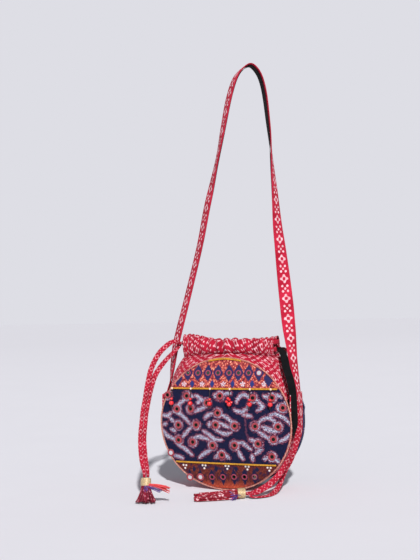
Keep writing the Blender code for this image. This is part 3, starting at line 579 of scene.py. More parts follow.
left_front, left_front_line = tape(
    "left_drawstring_front_tape", (-HELD_OUT_X, -HELD_OUT_Y, LEFT_HELD_Z), LEFT_FRONT_ROUTE,
    LEFT_TOP + LEFT_SIDE * STRAND_SIDE * np.sign(-LEFT_SIDE[0]), TILT,
    ((0, (0.2, -1, 0.5)), (0.2, (0.5, -0.8, 0.4)), (0.5, (0.75, -0.65, 0)), (1, (0.4, -0.9, 0))),
    LEFT_WIDTH)
left_back, left_back_line = tape(
    "left_drawstring_back_tape", (-HELD_OUT_X, HELD_OUT_Y, LEFT_HELD_Z), LEFT_BACK_ROUTE,
    LEFT_TOP - LEFT_SIDE * STRAND_SIDE * np.sign(-LEFT_SIDE[0]), TILT,
    ((0, (-0.3, -0.6, 0.8)), (0.2, (0.1, -0.8, 0.6)), (0.5, (0.75, -0.65, 0)), (1, (0.4, -0.9, 0))),
    LEFT_WIDTH)
right_front, right_front_line = tape(
    "right_drawstring_front_tape", (HELD_OUT_X, -HELD_OUT_Y, RIGHT_HELD_Z), RIGHT_FRONT_ROUTE,
    RIGHT_END + RIGHT_BESIDE * STRAND_SIDE, RIGHT_AIM,
    ((0, (-0.3, 1, -0.4)), (0.15, (-0.5, 0.85, 0)), (0.42, (-0.6, 0.8, 0)), (0.56, (0.95, 0.3, 0)),
     (0.72, (0.7, -0.7, 0)), (1, (0.3, -0.6, 0.75))), RIGHT_FRONT_WIDTH)
right_back, right_back_line = tape(
    "right_drawstring_back_tape", (HELD_OUT_X, HELD_OUT_Y, RIGHT_HELD_Z), RIGHT_BACK_ROUTE,
    RIGHT_END - RIGHT_BESIDE * STRAND_SIDE, RIGHT_AIM,
    ((0, (0.2, -0.7, 0.7)), (0.2, (0.5, -0.85, 0.2)), (0.6, (0.6, -0.8, 0)), (0.8, (0.6, -0.5, 0.6)),
     (0.88, (0.1, -0.1, 1)), (1, (0, 0, 1))), RIGHT_BACK_WIDTH)


# tassels

WRAP_TURNS = 12
FLOOR_CLEAR = 1.0 * MM
GOLDEN_ANGLE = 2.399963
UP = np.array((0, 0, 1.0))


def wound(name, node, centre, aim, flat, wide, high):
    """Gold thread wound round the gathered ends."""
    side = unit(np.cross(aim, flat))
    share = np.linspace(0, 1, WRAP_TURNS * 22 + 1)
    angle = 2 * math.pi * WRAP_TURNS * share
    barrel = 1 - 0.1 * (2 * share - 1) ** 4 + 0.02 * np.sin(share * 37)
    thread = 0.5 * MM
    line = (centre + aim * WRAP_LONG * 0.94 * (share[:, None] - 0.5)
            + side * ((wide - thread) * barrel * np.cos(angle))[:, None]
            + flat * ((high - thread) * barrel * np.sin(angle))[:, None])
    return piece(name, lines_curve(name, [line], thread), zari_thread, [node])


def strips(name, start, aim, side, flat, sizes, count, width, seed, material, nodes):
    """A bundle of torn cloth strips that spread from a wrap and keep off the floor."""
    rng = np.random.default_rng(seed)
    meshes = []
    reach = np.array([s[0] for s in sizes])
    for k in range(count):
        angle = GOLDEN_ANGLE * k
        radius = math.sqrt((k + 0.5) / count) * 0.93
        t = np.linspace(0, reach[-1] * rng.uniform(0.86, 1.0), 14)
        wide = np.interp(t, reach, [s[1] for s in sizes]) * radius
        high = np.interp(t, reach, [s[2] for s in sizes]) * radius
        phase, swing = rng.uniform(0, 6.28), rng.uniform(0.2, 1.0) * MM
        curl = swing * np.sin(phase + t / reach[-1] * rng.uniform(3, 7)) * (t / reach[-1])
        line = (start + aim * t[:, None] + side * (wide * math.cos(angle) + curl)[:, None]
                + flat * (high * math.sin(angle))[:, None])
        line[:, 2] = np.maximum(line[:, 2], FLOOR_CLEAR + 0.6 * MM)
        line = smooth_line(line, 1.6 * MM)
        twist = phase + np.linspace(0, rng.uniform(-1.6, 1.6), len(line))
        face = np.cos(twist)[:, None] * flat + np.sin(twist)[:, None] * side
        across, out = across_and_out(line, face)
        rings, cloth, _ = ribbon(line, across, out, width * rng.uniform(0.75, 1.2), 0.55 * MM, 8)
        rings[..., 2] = np.maximum(rings[..., 2], FLOOR_CLEAR * 0.4)
        cloth = cloth + rng.uniform(0, 0.5, 2)
        tone = np.zeros((len(line), 9, 3))
        tone[..., 0] = rng.uniform(0, 1)
        meshes.append(cloth_mesh(name, rings, cloth, tone, wrap=True, caps=True))
    return piece(name, joined(name, meshes), material, nodes)


def tuft(name, start, aim, spread, length, count, radius, seed, material, nodes=()):
    """Loose threads that fan out from a point."""
    rng = np.random.default_rng(seed)
    lines = []
    for _ in range(count):
        heading = unit(np.array(aim) + rng.normal(0, spread, 3))
        t = np.linspace(0, 1, 12)[:, None] * length * rng.uniform(0.75, 1.0)
        droop = -UP * (t ** 2) * rng.uniform(1, 5)
        wave = rng.normal(0, 1, 3) * 0.7 * MM * np.sin(t / length * rng.uniform(2, 6))
        line = start + rng.normal(0, 0.7, 3) * MM + heading * t + droop + wave
        line[:, 2] = np.maximum(line[:, 2], 0.8 * MM)
        lines.append(line)
    return piece(name, lines_curve(name, lines, radius, sides=1), material, nodes)


def dress_tassels():
    left_wrap = wound("left_gold_wrap", "left_tassel_wrap", LEFT_WRAP, TILT, LEFT_FLAT, 7.4 * MM, 5.8 * MM)
    start = LEFT_WRAP + TILT * (WRAP_LONG / 2 - 1.0 * MM)
    drop = (start[2] - 1.2 * MM) / -TILT[2]
    left_fringe = strips(
        "left_fringe_strips", start, TILT, LEFT_SIDE, LEFT_FLAT,
        ((0, 6.0 * MM, 4.6 * MM), (drop * 0.4, 9.0 * MM, 6.6 * MM), (drop * 0.75, 13.4 * MM, 8.6 * MM),
         (drop * 1.03, 17.0 * MM, 13.5 * MM)),
        60, 2.5 * MM, 5, wine_strips, ["left_tassel_fringe"])
    side = LEFT_WRAP + np.array((5.0, -2.6, -2.2)) * MM
    coral = tuft("left_coral_tuft", side, (0.98, 0.1, -0.08), 0.06, 31 * MM, 34, 0.42 * MM, 7,
                 coral_threads, ["left_tassel_threads"])
    pink = tuft("left_pink_tuft", side + np.array((-1.0, -1.0, -2.4)) * MM, (0.93, 0.08, -0.2), 0.06,
                22 * MM, 12, 0.36 * MM, 17, blue_threads)
    blue = tuft("left_blue_tuft", side + np.array((-3.0, -2.0, -1.5)) * MM, (0.5, -0.4, -0.75), 0.3,
                11 * MM, 12, 0.45 * MM, 9, blue_threads)
    right_wrap = wound("right_gold_wrap", "right_tassel_wrap", RIGHT_WRAP + np.array((0, 0, 1.3)) * MM,
                       RIGHT_AIM, UP, 8.0 * MM, 6.9 * MM)
    start = RIGHT_WRAP + RIGHT_AIM * (WRAP_LONG / 2 - 1.0 * MM)
    right_fringe = strips(
        "right_fringe_strips", start, unit(np.array((-0.86, -0.46, -0.035))), RIGHT_BESIDE, UP,
        ((0, 6.2 * MM, 5.2 * MM), (10 * MM, 8.4 * MM, 6.2 * MM), (30 * MM, 10.4 * MM, 6.2 * MM),
         (60 * MM, 11.6 * MM, 5.4 * MM)),
        34, 4.2 * MM, 11, red_strips, ["right_tassel_fringe"])
    blue_side = RIGHT_WRAP + np.array((-3.0, -9.0, -1.0)) * MM
    right_blue = tuft("right_blue_tuft", blue_side, (-0.8, -0.5, -0.2), 0.35, 12 * MM, 18, 0.5 * MM, 13,
                      blue_threads, ["right_tassel_threads"])


# strap

STRAP_WIDE, LINING_WIDE = 20 * MM, 14 * MM
STRAP_THICK, LINING_THICK, LINING_GAP = 2.2 * MM, 0.6 * MM, 0.9 * MM
TURN_SCALE = 0.01
SIDE_GRIP = 99.15 * MM
GUSSET_TOP_Z = 135.0 * MM
# across, back, up in metres, and the strap's turn in degrees
STRAP_LINE = (
    (-SIDE_GRIP, 0, 0.117, 0), (-SIDE_GRIP, 0, GUSSET_TOP_Z, 0), (-0.0962, 0, 0.160, 34),
    (-0.0890, 0, 0.196, 50), (-0.0817, 0, 0.222, 52), (-0.0670, 0, 0.269, 50), (-0.0455, 0, 0.342, 48),
    (-0.0267, -0.002, 0.413, 49), (-0.0104, -0.004, 0.470, 35), (0.0000, -0.005, 0.513, 42),
    (0.0109, -0.006, 0.555, 46), (0.0210, -0.005, 0.583, 44), (0.0320, -0.003, 0.5965, 39),
    (0.043, 0, 0.6011, 35), (0.0518, 0.003, 0.5930, 36), (0.0583, 0.005, 0.577, 36),
    (0.0631, 0.006, 0.549, 36), (0.0674, 0.005, 0.506, 30), (0.0708, 0.003, 0.463, 12),
    (0.0762, 0, 0.378, -18), (0.0800, 0, 0.336, -32), (0.0860, 0, 0.265, -54), (0.0885, 0, 0.230, -48),
    (0.0915, 0, 0.200, -28), (0.0945, 0, 0.170, -14), (SIDE_GRIP, 0, GUSSET_TOP_Z, 0),
    (SIDE_GRIP, 0, 0.117, 0))


def dress_strap():
    marks = np.array(STRAP_LINE)
    marks[:, 3] = np.radians(marks[:, 3]) * TURN_SCALE
    even = smooth_line(marks, 1.5 * MM)
    line, turn = even[:, :3], even[:, 3] / TURN_SCALE
    along = along_line(line)
    across = np.stack([np.sin(turn), -np.cos(turn), np.zeros(len(turn))], axis=1)
    across = unit(across - along * (across * along).sum(1, keepdims=True))
    out = unit(np.cross(across, along))
    reach = reach_along(line)
    ripple = 0.18 * MM * np.sin(reach / 0.019 + 2 * np.sin(reach / 0.05))
    rings, cloth, backs = ribbon(line, across, out, STRAP_WIDE, STRAP_THICK, 28, 0.0, ripple[:, None])
    mesh = cloth_mesh("strap_band", rings, cloth, wrap=True, caps=True, backs=np.append(backs, 0))
    band = piece("strap_band", mesh, [strap_print, red_plain], ["strap_printed_cloth"])
    sink = STRAP_THICK / 2 + LINING_GAP * 0.55 + LINING_THICK / 2
    rings, cloth, _ = ribbon(line[4:-4] - out[4:-4] * sink, across[4:-4], out[4:-4], LINING_WIDE,
                             LINING_THICK, 20, 0.0, ripple[4:-4, None])
    mesh = cloth_mesh("strap_black_lining", rings, cloth, wrap=True, caps=True)
    lining = piece("strap_black_lining", mesh, black_cotton, ["strap_lining"])


# discs

RIM_X, RIM_Z, RIM_CORD = 98.5 * MM, 92.4 * MM, 1.4 * MM
DISC_THICK, DISC_DOME, BACK_THICK = 2.0 * MM, 3.5 * MM, 1.6 * MM
LIP_DEPTH, LIP_TURN, LIP_OUT = 10.0 * MM, 5.2 * MM, 0.022
BODY_DEPTH = 68.0 * MM
RIM_MID_Z = RIM_Z + RIM_CORD
DISC_X, DISC_Z = RIM_X - RIM_CORD - 0.3 * MM, RIM_Z - RIM_CORD - 0.3 * MM
LOWER_BRAID_Z, UPPER_BRAID_Z, TOP_BRAID_Z, BACK_BRAID_Z = 39.0 * MM, 143.5 * MM, 182.3 * MM, 100.0 * MM


FOOT_FROM = 0.45


def half_depth(z):
    high = np.maximum(0.0, z - RIM_Z) / RIM_Z
    low = np.maximum(0.0, FOOT_FROM - z / RIM_Z) / FOOT_FROM
    return BODY_DEPTH / 2 * (1 - 0.33 * high ** 2 - 0.10 * low ** 2)


def disc_y(x, z):
    reach = np.minimum(1.0, (x / DISC_X) ** 2 + ((z - RIM_MID_Z) / DISC_Z) ** 2)
    return half_depth(z) + DISC_DOME * (1 - reach)


# the figures of the cloths, in millimetres across from the middle of the disc and up from its foot
SCROLLS = (
    ((-58, 131), (-63, 125), (-72, 119)), ((-50, 133), (-47, 132)),
    ((-43, 134), (-38, 131), (-32, 127), (-28, 125)),
    ((-13, 136), (-13, 132)), ((1, 136), (6, 137), (11, 137)), ((-43, 111), (-35, 115), (-28, 117)),
    ((-96, 105), (-88, 104), (-82, 108)), ((-78, 111), (-65, 106), (-57, 99), (-52, 94)),
    ((-17, 109), (-24, 106), (-28, 102)), ((-3, 107), (4, 105), (10, 100), (14, 96)), ((-84, 101), (-78, 96)),
    ((20, 125), (21, 129), (26, 134), (31, 136), (37, 133), (40, 130)),
    ((38, 122), (35, 116), (29, 112), (22, 112), (17, 115)),
    ((49, 129), (54, 124), (59, 120), (56, 117), (51, 114)),
    ((60, 134), (66, 132)), ((79, 136), (85, 133)), ((91, 126), (93, 122)), ((80, 121), (81, 115)),
    ((30, 108), (37, 107), (42, 106)), ((69, 108), (76, 110), (82, 108), (88, 105), (94, 100), (97, 97)),
    ((53, 98), (58, 102), (63, 104), (69, 104), (75, 100), (77, 96)), ((58, 92), (65, 90), (70, 89)),
    ((-98, 84), (-94, 81), (-89, 75), (-81, 72), (-75, 68)), ((-72, 63), (-63, 59), (-56, 54), (-50, 49)),
    ((-82, 85), (-76, 82)), ((-51, 88), (-56, 83), (-61, 78), (-64, 74)),
    ((-46, 74), (-38, 76), (-30, 74), (-23, 72)),
    ((-31, 84), (-24, 80), (-20, 77), (-14, 73), (-7, 72), (-3, 72)), ((-22, 91), (-21, 96)),
    ((-5, 96), (1, 93), (8, 90)), ((-11, 85), (-3, 82), (4, 80), (11, 83)),
    ((-21, 57), (-29, 53), (-36, 48), (-39, 46)),
    ((2, 50), (7, 47)), ((-14, 47), (-11, 50)), ((-78, 47), (-71, 46), (-65, 44)),
    ((52, 85), (58, 81), (64, 77), (67, 75)), ((61, 88), (67, 87), (73, 86), (81, 86)),
    ((82, 72), (90, 76), (95, 80), (98, 83)), ((21, 69), (28, 69), (32, 66), (37, 62), (40, 60)),
    ((21, 58), (24, 51), (28, 46)), ((39, 74), (45, 72)), ((46, 54), (52, 58), (56, 60)),
    ((58, 47), (63, 50)),
    ((75, 47), (80, 44)), ((41, 52), (42, 45)), ((0, 52), (6, 48)), ((-94, 91), (-90, 93)),
    ((-40, 123), (-36, 125)))
VINE = (((34, 122), (33, 108), (33, 95), (34, 82), (36, 73)),)
LOZENGES = ((-56.4, 164.9), (-40.5, 165), (-24.8, 165.1), (-9.4, 165.2), (7.4, 165.2), (21.7, 165.3),
            (36.7, 165.3), (52, 165.3), (-72, 157), (66.5, 157.5))
BLUE_LOZENGES = ((-49, 149.5), (-17.7, 149.9), (13.6, 150.1), (42.5, 150.3))
WHITE_FLOWERS = ((-61.8, 149.4), (-33.2, 149.7), (-0.8, 150), (28.5, 150.2), (60, 150.4))
LOW_FLOWERS = ((-62.5, 33), (-32.3, 34), (3.1, 34.7), (33, 35), (65, 34.5))
LOW_LOZENGES = ((-48.4, 29.1), (-14, 30.7), (16.4, 32), (47.4, 32.5))
LOW_MIRRORS = ((-55.8, 17.1), (-39.2, 18), (-21.2, 18.9), (-4.3, 19.7), (12.4, 20.5), (28.1, 21.2),
               (42.9, 21.8))
MIDDLE_MIRRORS = (
    (-87.9, 133.5), (-56.9, 132.6), (-5.1, 133.4), (-24.9, 123.4), (-72.2, 113.9), (-50.3, 114.5),
    (43.9, 131.2), (72, 131.5), (87.3, 118.1), (-8.4, 109.8), (-70.4, 91.2), (-42.1, 92.1), (-11.8, 92.9),
    (16.9, 92.2), (47.1, 92.2), (80.1, 92.1), (-70.9, 69.7), (-48.3, 67.7), (-17.7, 63.9), (72.8, 74.8),
    (15.8, 65), (50.4, 68.1), (69.9, 50.7), (-4, 51))


FAR = 99.0
REPEAT = 93


def to_lines(x, z, lines, half):
    """Distance in millimetres outside strokes that swell in the middle, along broken lines."""
    nearest = np.full(x.shape, FAR)
    for line in lines:
        marks = np.array(line, float)
        spans = np.linalg.norm(np.diff(marks, axis=0), axis=1)
        before = np.concatenate([[0], np.cumsum(spans)])
        for (a, b), first, span in zip(zip(marks, marks[1:]), before, spans):
            t = np.clip(((x - a[0]) * (b - a)[0] + (z - a[1]) * (b - a)[1]) / span ** 2, 0, 1)
            away = np.hypot(x - a[0] - t * (b - a)[0], z - a[1] - t * (b - a)[1])
            swell = half * (0.62 + 0.38 * np.sin(math.pi * (first + t * span) / before[-1]))
            nearest = np.minimum(nearest, away - swell)
    return nearest


def to_lozenges(x, z, places, wide, tall):
    nearest = np.full(x.shape, FAR)
    for cx, cz in places:
        share = (np.abs(x - cx) / wide) ** 1.15 + (np.abs(z - cz) / tall) ** 1.15
        nearest = np.minimum(nearest, wide * (share - 1))
    return nearest


def to_dots(x, z, places, offsets, radius):
    nearest = np.full(x.shape, FAR)
    for cx, cz in places:
        for ox, oz in offsets:
            nearest = np.minimum(nearest, np.hypot(x - cx - ox, z - cz - oz) - radius)
    return nearest


def to_crescents(x, z, places):
    """Crescents that hug the mirrors, each thick on its own side."""
    nearest = np.full(x.shape, FAR)
    for k, (cx, cz) in enumerate(places):
        lean = 2.4 * k
        hollow = 5.4 - np.hypot(x - cx - 2.2 * math.cos(lean), z - cz - 2.2 * math.sin(lean))
        nearest = np.minimum(nearest, np.maximum(np.hypot(x - cx, z - cz) - 7.0, hollow))
    return nearest


def middle_motif(x, z):
    scrolls = np.minimum(to_lines(x, z, SCROLLS, 2.6), to_crescents(x, z, MIDDLE_MIRRORS))
    return np.stack([scrolls, to_lines(x, z, VINE, 0.4), 0 * x], axis=-1)


def upper_motif(x, z):
    petals = ((0, 0), (2.6, 0.6), (-2.6, 0.6), (1.2, -2.2), (-1.4, -2.0), (0.2, 2.2))
    return np.stack([to_lozenges(x, z, LOZENGES, 7.2, 11.5), to_dots(x, z, WHITE_FLOWERS, petals, 1.05),
                     to_lozenges(x, z, BLUE_LOZENGES, 3.4, 5.6)], axis=-1)


def lower_motif(x, z):
    around = to_lozenges(x, z, LOW_MIRRORS, 5.0, 12.0)
    navy = np.minimum(to_lozenges(x, z, LOW_LOZENGES, 3.2, 4.4), around)
    flowers = to_dots(x, z, LOW_FLOWERS, ((-2.3, 1.2), (2.2, 1.0), (0.2, -3.0)), 1.45)
    between = to_lozenges(x, z, [(x0 + 8.4, z0 + 1) for x0, z0 in LOW_MIRRORS[:-1]], 1.8, 6.5)
    return np.stack([navy, flowers, between], axis=-1)


def front_band(name, z_from, z_to, rows, columns, motif, material, slot, node):
    """A stretch of the front disc: its face in a fine grid, a folded edge, and a closed back."""
    z = np.linspace(z_from, z_to, rows)[:, None]
    half = DISC_X * np.sqrt(np.maximum(0, 1 - ((z - RIM_MID_Z) / DISC_Z) ** 2))
    share = np.linspace(-1, 1, columns)[None, :]
    x = half * share
    z = np.broadcast_to(z, x.shape)
    relief = 0.14 * MM * (np.sin(x / MM / 5.3 + 2 * np.sin(z / MM / 7)) + np.sin(z / MM / 4.1 + x / MM / 9))
    y = -(disc_y(x, z) + relief * (1 - share ** 8))
    mesh = cloth_mesh(name, np.stack([x, y, z], -1), np.stack([x, z], -1), motif(x / MM, z / MM))
    bm = bmesh.new()
    bm.from_mesh(mesh)
    edge = [e for e in bm.edges if e.is_boundary]
    moved = bmesh.ops.extrude_edge_only(bm, edges=edge)["geom"]
    verts = [v for v in moved if isinstance(v, bmesh.types.BMVert)]
    bmesh.ops.translate(bm, verts=verts, vec=(0, DISC_THICK * 0.9, 0))
    bmesh.ops.holes_fill(bm, edges=[e for e in bm.edges if e.is_boundary], sides=0)
    bmesh.ops.recalc_face_normals(bm, faces=bm.faces)
    return piece(name, baked(bm, mesh), material, [node])


def lip_share(rise):
    return np.clip((0.24 - rise) / 0.18, 0, 1)


def side_reach(angle, lip, hold):
    reach = np.cos(angle)
    held = reach + np.copysign(1 - np.abs(reach), reach) * np.minimum(1.0, lip / 0.24) * hold
    return np.where(np.sin(angle) <= 0, reach, held)


def back_cover():
    """The back disc with its lip that turns forward over the gusset, outside and inside."""
    wall = BACK_THICK / DISC_X
    edge = 1 + LIP_OUT
    outer = ((0.006, 0), (0.94, 0), (0.99, 1.2), (edge - 0.004, 4.5), (edge, 10.0))
    inner = ((edge - wall, 10.0), (edge - 0.004 - wall, 5.2), (0.975, 2.8), (0.93, 1.6), (0.006, 1.6))
    over, under, bends = np.linspace(0, 3, 16)[1:], np.linspace(0, 3, 10), (0, 1, 2, 3)
    shares = np.concatenate([np.interp(np.linspace(0, 1, 90), (0, 1), (0.006, 0.94)),
                             np.interp(over, bends, [s for s, _ in outer[1:]]),
                             np.interp(under, bends, [s for s, _ in inner[:4]]),
                             np.linspace(0.93, 0.006, 12)[1:]])
    insets = np.concatenate([np.zeros(90), np.interp(over, bends, [i for _, i in outer[1:]]),
                             np.interp(under, bends, [i for _, i in inner[:4]]), np.full(11, 1.6)]) * MM
    skins = np.concatenate([np.zeros(105), np.full(21, BACK_THICK)])
    angle = np.linspace(0, 2 * math.pi, 320, endpoint=False)[None, :]
    share, inset, skin = shares[:, None], insets[:, None], skins[:, None]
    lip = lip_share(np.sin(angle))
    reach = share - (1 - lip) * LIP_OUT * share ** 8
    x = reach * DISC_X * side_reach(angle, lip, share ** 8)
    z = RIM_MID_Z + reach * DISC_Z * np.sin(angle)
    y = disc_y(x, z) - skin - (inset - skin) * lip
    y = y + 0.12 * MM * np.sin(x / MM / 5.3) * np.sin(z / MM / 6) * (share < 0.9) * (skin == 0)
    motif = np.min([middle_motif(-x / MM, 2 + z / MM + up) for up in (-REPEAT, 0, REPEAT)], axis=0)
    motif = np.concatenate([motif, motif[:, :1]], axis=1)
    mesh = cloth_mesh("back_cover", np.stack([x, y, z], -1), np.stack([x, z], -1), motif,
                      wrap=True, caps=True)
    return piece("back_cover", mesh, navy_cloth, ["back_lower_band", "back_upper_band"])


def on_front(x, z, proud=0.0):
    """A matrix that stands on the front disc, its Z axis out of the cloth. Places are in millimetres."""
    x, z = x * MM, z * MM
    step = 0.5 * MM
    y = -float(disc_y(x, z))
    dx = (-float(disc_y(x + step, z)) - y) / step
    dz = (-float(disc_y(x, z + step)) - y) / step
    out = Vector((dx, -1, dz)).normalized()
    side = Vector((1, dx, 0)).normalized()
    up = out.cross(side)
    place = Vector((x, y, z)) + out * proud + Vector(HANG)
    return Matrix(((side.x, up.x, out.x, place.x), (side.y, up.y, out.y, place.y),
                   (side.z, up.z, out.z, place.z), (0, 0, 0, 1)))


def scattered(name, template, matrices):
    """Copies of a small mesh at several places."""
    bm = bmesh.new()
    for matrix in matrices:
        first = len(bm.verts)
        bm.from_mesh(template)
        bm.verts.ensure_lookup_table()
        bmesh.ops.transform(bm, matrix=matrix, verts=bm.verts[first:])
    mesh = baked(bm, name)
    bpy.data.meshes.remove(template)
    return mesh


def mirror_template(radius):
    """A thin round mirror with a ground edge."""
    bm = bmesh.new()
    bmesh.ops.create_cone(bm, cap_ends=True, segments=20, radius1=radius, radius2=radius * 0.93,
                          depth=0.5 * MM)
    caps = [f for f in bm.faces if len(f.verts) > 4]
    bmesh.ops.inset_region(bm, faces=caps, thickness=0.2 * MM, depth=0.04 * MM)
    return baked(bm, "mirror")


def stitch_template(radius, width, high, stitches=22):
    """A ring of buttonhole stitches, each a low ridge across it."""
    bm = bmesh.new()
    bmesh.ops.create_circle(bm, segments=8, radius=1.0)
    bmesh.ops.scale(bm, verts=bm.verts, vec=(width, high, 1))
    bmesh.ops.rotate(bm, verts=bm.verts, matrix=Matrix.Rotation(math.pi / 2, 3, "X"))
    bmesh.ops.translate(bm, verts=bm.verts, vec=(radius, 0, 0))
    bmesh.ops.spin(bm, geom=bm.verts[:] + bm.edges[:], angle=2 * math.pi, steps=stitches * 4,
                   axis=(0, 0, 1), cent=(0, 0, 0), use_merge=True)
    bmesh.ops.remove_doubles(bm, verts=bm.verts, dist=1e-7)
    for v in bm.verts:
        angle = math.atan2(v.co.y, v.co.x)
        ridge = 1 + 0.05 * math.cos(stitches * angle)
        v.co.x *= ridge
        v.co.y *= ridge
        v.co.z *= 0.8 + 0.28 * math.cos(stitches * angle)
    bmesh.ops.recalc_face_normals(bm, faces=bm.faces)
    return baked(bm, "stitches")


def dress_mirrors():
    """Small mirrors held by rings of silk stitches, as in Gujarati mirror work."""
    # painted reflection: the bright list holds the mirrors that flash white, and the others are the same
    # glass painted dark or grey green
    bright = [(52, 165.3), (-84.2, 51), (-55.8, 17.1), (-39.2, 18), (42.9, 21.8)]
    dark = [p for p in (*MIDDLE_MIRRORS, *LOW_MIRRORS) if p not in bright]
    grey = [p for p in LOZENGES[:8] if p not in bright]
    for name, radius, places, material in (
            ("grey_mirrors", 2.7 * MM, grey, mirror_glass_painted_grey), ("dark_mirrors", 2.5 * MM, dark, mirror_glass_painted_dark),
            ("bright_mirrors", 3.4 * MM, bright, bright_mirror)):
        stands = [on_front(*p, 0.35 * MM) for p in places]
        piece(name, scattered(name, mirror_template(radius), stands), material)
    for name, shape, places, material in (
            ("mirror_stitches", (3.85 * MM, 1.5 * MM, 0.65 * MM),
             (*MIDDLE_MIRRORS, *bright[1:4]), ring_stitch),
            ("small_mirror_stitches", (3.3 * MM, 0.95 * MM, 0.55 * MM, 20),
             (*LOZENGES[:8], *LOW_MIRRORS[2:]), upper_stitch)):
        stands = [on_front(*p, 0.25 * MM) for p in places]
        piece(name, scattered(name, stitch_template(*shape), stands), material)


PLAIT_WIDE, PLAIT_THICK = 2.6, 1.6


def plait(name, z, side, node, arched=False):
    """A flat three strand plait across a disc, or along the arch of its rim."""
    half = DISC_X * math.sqrt(1 - ((z - RIM_MID_Z) / DISC_Z) ** 2) - 1.5 * MM
    x = np.linspace(-half, half, int(half / MM * 4.4))
    if arched:
        x = x * 1.25
        z = RIM_MID_Z + (z - RIM_MID_Z + 2.4 * MM) * np.sqrt(1 - (x / RIM_X) ** 2)
    face = np.maximum(disc_y(x, z + PLAIT_WIDE * MM / 2), disc_y(x, z - PLAIT_WIDE * MM / 2)) + 0.3 * MM
    lines = []
    for k in range(3):
        angle = x / MM * 2 * math.pi / 5.2 + 2 * math.pi * k / 3
        up = np.sin(angle) * (PLAIT_WIDE / 2 - 0.55) * MM
        out = PLAIT_THICK / 2 * MM + np.sin(2 * angle) * 0.28 * MM
        lines.append(np.stack([x, side * (face + out), z + up], axis=1))
    data = lines_curve(name, lines, 0.52 * MM, sides=1)
    return piece(name, data, golden_braid, [node])


def rim_cord(name, side, node, lipped=False):
    """Two strand twisted cord round the edge of a disc."""
    thick = BACK_THICK if lipped else DISC_THICK
    turns = 112
    angle = np.linspace(0, 2 * math.pi, turns * 9, endpoint=False)
    out = np.stack([np.cos(angle), 0 * angle, np.sin(angle)], axis=1)
    lip = lip_share(np.sin(angle)) if lipped else 0 * angle
    past = np.minimum(1.0, lip / 0.15)
    edge = thick + (LIP_DEPTH - thick) * lip
    inset = (edge + 0.3 * MM + RIM_CORD) * past + thick / 2 * (1 - past)
    z = RIM_MID_Z + RIM_Z * np.sin(angle)
    centre = np.stack([RIM_X * side_reach(angle, lip, 1.0), side * (half_depth(z) - inset), z], axis=1)
    lines = []
    for k in range(2):
        roll = turns * angle + math.pi * k
        lines.append(centre + out * (0.58 * MM * np.cos(roll))[:, None]
                     + np.array((0, 1.0, 0)) * (0.58 * MM * np.sin(roll))[:, None])
    material, slot = (navy_cord, "navy_ikat") if lipped else (peach_cord, "peach_cord")
    return piece(name, lines_curve(name, lines, 0.62 * MM, cyclic=True, sides=1), material, [node])


def dress_gusset():
    """The printed strip between the discs."""
    x_side, thick = 95.5 * MM, 1.5 * MM
    low = RIM_Z - (RIM_X - x_side)
    marks = [(x_side, GUSSET_TOP_Z), (x_side, (GUSSET_TOP_Z + RIM_MID_Z) / 2)]
    marks += [(x_side * math.cos(a), RIM_MID_Z - low * math.sin(a)) for a in np.linspace(0, math.pi, 31)]
    marks += [(-x, z) for x, z in reversed(marks[:2])]
    line = np.array(marks)
    fine = np.linspace(0, len(line) - 1, 260)
    x = np.interp(fine, np.arange(len(line)), line[:, 0])
    z = np.interp(fine, np.arange(len(line)), line[:, 1])
    run = unit(np.gradient(np.stack([x, z], 1), axis=0))
    out = np.stack([-run[:, 1], 0 * x, run[:, 0]], axis=1)
    front = half_depth(z) - DISC_THICK / 2 - RIM_CORD - 0.3 * MM
    rise = np.clip((z - RIM_MID_Z) / (15 * MM), 0, 1)
    back = half_depth(z) - LIP_TURN - 0.3 * MM - 4 * MM * rise
    share = np.linspace(0, 1, 40)[None, :]
    y = -front[:, None] + (front + back)[:, None] * share
    reach = np.concatenate([[0], np.cumsum(np.hypot(np.diff(x), np.diff(z)))])
    pucker = 0.22 * MM * np.sin(reach[:, None] / MM / 4.6 + 5 * share) * np.sin(math.pi * share)
    points = np.stack([np.broadcast_to(x[:, None], y.shape), y, np.broadcast_to(z[:, None], y.shape)], -1)
    points = points + out[:, None] * (thick / 2 - pucker + 0.1 * MM)[..., None]
    cloth = np.stack([y, np.broadcast_to(reach[:, None], y.shape)], -1)
    mesh = cloth_mesh("gusset_cloth", points, cloth)
    made = piece("gusset_cloth", mesh, red_print, ["gusset"], thick=1.3 * MM)
    return made, reach[-1]


# gathered neck and casing

CASING_Z, CASING_HIGH, CASING_PUFF, CASING_ROUND = 188.0 * MM, 27.0 * MM, 6.5 * MM, 0.85
MOUTH_X, MOUTH_Y, MOUTH_END_Y = 69.0 * MM, 12.5 * MM, 7.5 * MM
PLEATS, PLEAT_DEEP = 31, 2.5 * MM
CASING_FOOT_RISE, CASING_TOP_SAG, CASING_END_RISE = 4.6 * MM, 4.4 * MM, 4.6 * MM
PRINT_SPREAD = 118


def pleat(turn):
    """Uneven gathers along the mouth, sharper in their valleys."""
    wave = np.sin(PLEATS * turn + 2.2 * np.sin(2.3 * turn) + 0.9 * np.sin(7.1 * turn + 1))
    wave = np.copysign(np.abs(wave) ** 0.75, wave)
    deep = 0.74 + 0.26 * np.sin(5.3 * turn + 2.0)
    return deep * (0.76 * wave + 0.24 * np.sin(PLEATS * 1.63 * turn + 0.8))


def casing_middle(side):
    ahead = np.maximum(0.0, 1 - np.minimum(1.0, side) ** (2 / CASING_ROUND)) ** (CASING_ROUND / 2)
    return MOUTH_END_Y + (MOUTH_Y - MOUTH_END_Y) * ahead


